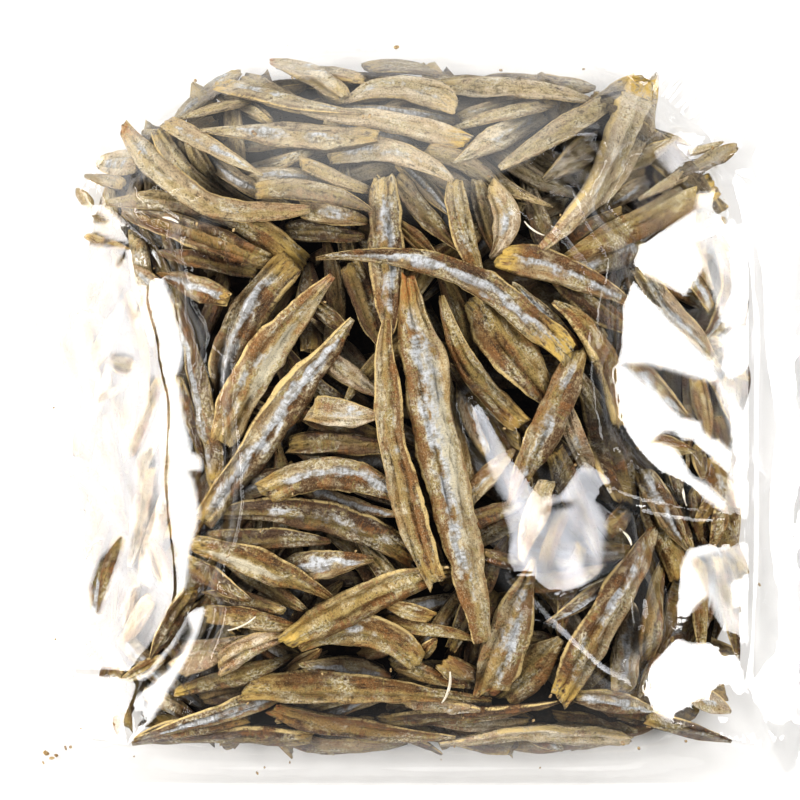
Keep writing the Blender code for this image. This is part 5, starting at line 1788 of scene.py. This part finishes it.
class ANCHOVIES_OT_crumbs(bpy.types.Operator):
    """Crumbs and flakes of fish, in the film's corners and against its inner face"""
    bl_idname = "anchovies.crumbs"
    bl_label = "Crumbs"

    def execute(self, context):
        draw = random.Random(CRUMB_SEED)
        rows = list(SHOWN_CRUMBS)
        for _ in range(context.scene.anchovies_sizes.crumbs):
            place = heap_place(draw.uniform(0, 2 * math.pi), math.sqrt(draw.uniform(0.05, 1.1)))
            rows.append((*place, draw.uniform(0.25, 1.0) ** 1.5))
        ball, triangles = round_lump()
        points, corners = [], []
        for number, (x, y, size) in enumerate(rows):
            rough = noise(ball[:, 0] * 3 + 9 * number, ball[:, 1] * 3 + 5 * ball[:, 2])
            lump = ball * (1 + 0.35 * rough)[:, None]
            length, width, height = draw.uniform(0.8, 1.5), draw.uniform(0.5, 1.0), draw.uniform(0.3, 0.6)
            lump = lump * (size * length, size * width, size * height)
            turn = draw.uniform(0, math.pi)
            lump = np.stack((lump[:, 0] * math.cos(turn) - lump[:, 1] * math.sin(turn),
                             lump[:, 0] * math.sin(turn) + lump[:, 1] * math.cos(turn), lump[:, 2]), -1)
            low = plain_lower_sheet(np.array(x), np.array(y))
            high = upper_sheet().at(np.array(x), np.array(y)) - FILM_ROOM
            height = max(high - np.max(lump[:, 2]), low - np.min(lump[:, 2]) + 0.1)
            points.append(lump + (x, y, height))
            corners.append(triangles + len(ball) * number)
        corners = np.concatenate(corners)
        mesh = mesh_from_arrays("crumbs", np.concatenate(points), corners.ravel(), np.full(len(corners), 3))
        mesh.materials.append(plain_finish("crumbs", shown(196, 170, 122), shown(122, 92, 56), 0.7, 900))
        finish_piece(linked("crumbs", mesh))
        return {"FINISHED"}


class ANCHOVIES_OT_bones(bpy.types.Operator):
    """A few loose bones, thin and bowed, against the film's inner face"""
    bl_idname = "anchovies.bones"
    bl_label = "Bones"

    RINGS = 14
    SIDES = 8

    def execute(self, context):
        t = np.linspace(0, 1, self.RINGS)
        turn = 2 * math.pi * np.arange(self.SIDES) / self.SIDES
        walls, sizes = tube_faces(self.RINGS, self.SIDES)
        points, corners, all_sizes = [], [], []
        for number, (first_x, first_y, last_x, last_y, bow, width) in enumerate(BONES):
            x, y = middle_line(first_x, first_y, last_x, last_y, bow, t)
            z = upper_sheet().at(x, y) - 0.7 * width - FILM_ROOM
            line = np.stack((x, y, z), -1)
            ahead = np.gradient(line, axis=0)
            ahead /= np.linalg.norm(ahead, axis=1)[:, None]
            left = np.cross((0, 0, 1), ahead)
            up = np.cross(ahead, left)
            thickness = 0.3 + 0.7 * np.sin(math.pi * np.clip(t, 0.04, 0.96)) ** 0.6
            radius = (0.5 * width * thickness)[:, None, None]
            ring = left[:, None] * np.cos(turn)[None, :, None] + up[:, None] * np.sin(turn)[None, :, None]
            tube = line[:, None] + radius * ring
            inner = line[0] + 0.5 * (tube[0] - line[0])
            points.append(np.concatenate((tube.reshape(-1, 3), inner)))
            corners.append(walls + number * len(points[0]))
            all_sizes.append(sizes)
        arrays = (np.concatenate(part) for part in (points, corners, all_sizes))
        mesh = mesh_from_arrays("bones", *arrays)
        mesh.materials.append(plain_finish("bones", shown(246, 240, 224), shown(226, 214, 190), 0.5, 500))
        finish_piece(linked("bones", mesh))
        return {"FINISHED"}


def finish_piece(piece):
    """Tie a piece to the pouch's body, and hide the pouch's part that the pieces replace."""
    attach(piece, BODY)
    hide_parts(NODE)


class ANCHOVIES_PT_panel(bpy.types.Panel):
    """The pouch's tools and values"""
    bl_idname = "ANCHOVIES_PT_panel"
    bl_label = "Dried anchovies"
    bl_space_type = "VIEW_3D"
    bl_region_type = "UI"
    bl_category = "Anchovies"

    def draw(self, context):
        layout = self.layout
        for operator in OPERATORS:
            layout.operator(operator.bl_idname)
        for name, group in SETTINGS.items():
            box = layout.box()
            box.label(text=group.__doc__)
            for value in group.__annotations__:
                box.prop(getattr(context.scene, name), value)


OPERATORS = (
    ANCHOVIES_OT_stage,
    ANCHOVIES_OT_film,
    ANCHOVIES_OT_fish,
    ANCHOVIES_OT_core,
    ANCHOVIES_OT_crumbs,
    ANCHOVIES_OT_bones,
)
SETTINGS = {
    "anchovies_film": FilmLook,
    "anchovies_fish": FishLook,
    "anchovies_sizes": HeapSizes,
    "anchovies_stage": StageLook,
}


def register():
    for group in (*SETTINGS.values(), *OPERATORS, ANCHOVIES_PT_panel):
        bpy.utils.register_class(group)
    for name, group in SETTINGS.items():
        setattr(bpy.types.Scene, name, PointerProperty(type=group))


def unregister():
    for name in SETTINGS:
        delattr(bpy.types.Scene, name)
    for group in (ANCHOVIES_PT_panel, *OPERATORS, *SETTINGS.values()):
        bpy.utils.unregister_class(group)


def main():
    register()
    bpy.ops.anchovies.stage()
    bpy.ops.anchovies.film()
    bpy.ops.anchovies.fish()
    bpy.ops.anchovies.core()
    bpy.ops.anchovies.crumbs()
    bpy.ops.anchovies.bones()


if __name__ == "__main__":
    main()
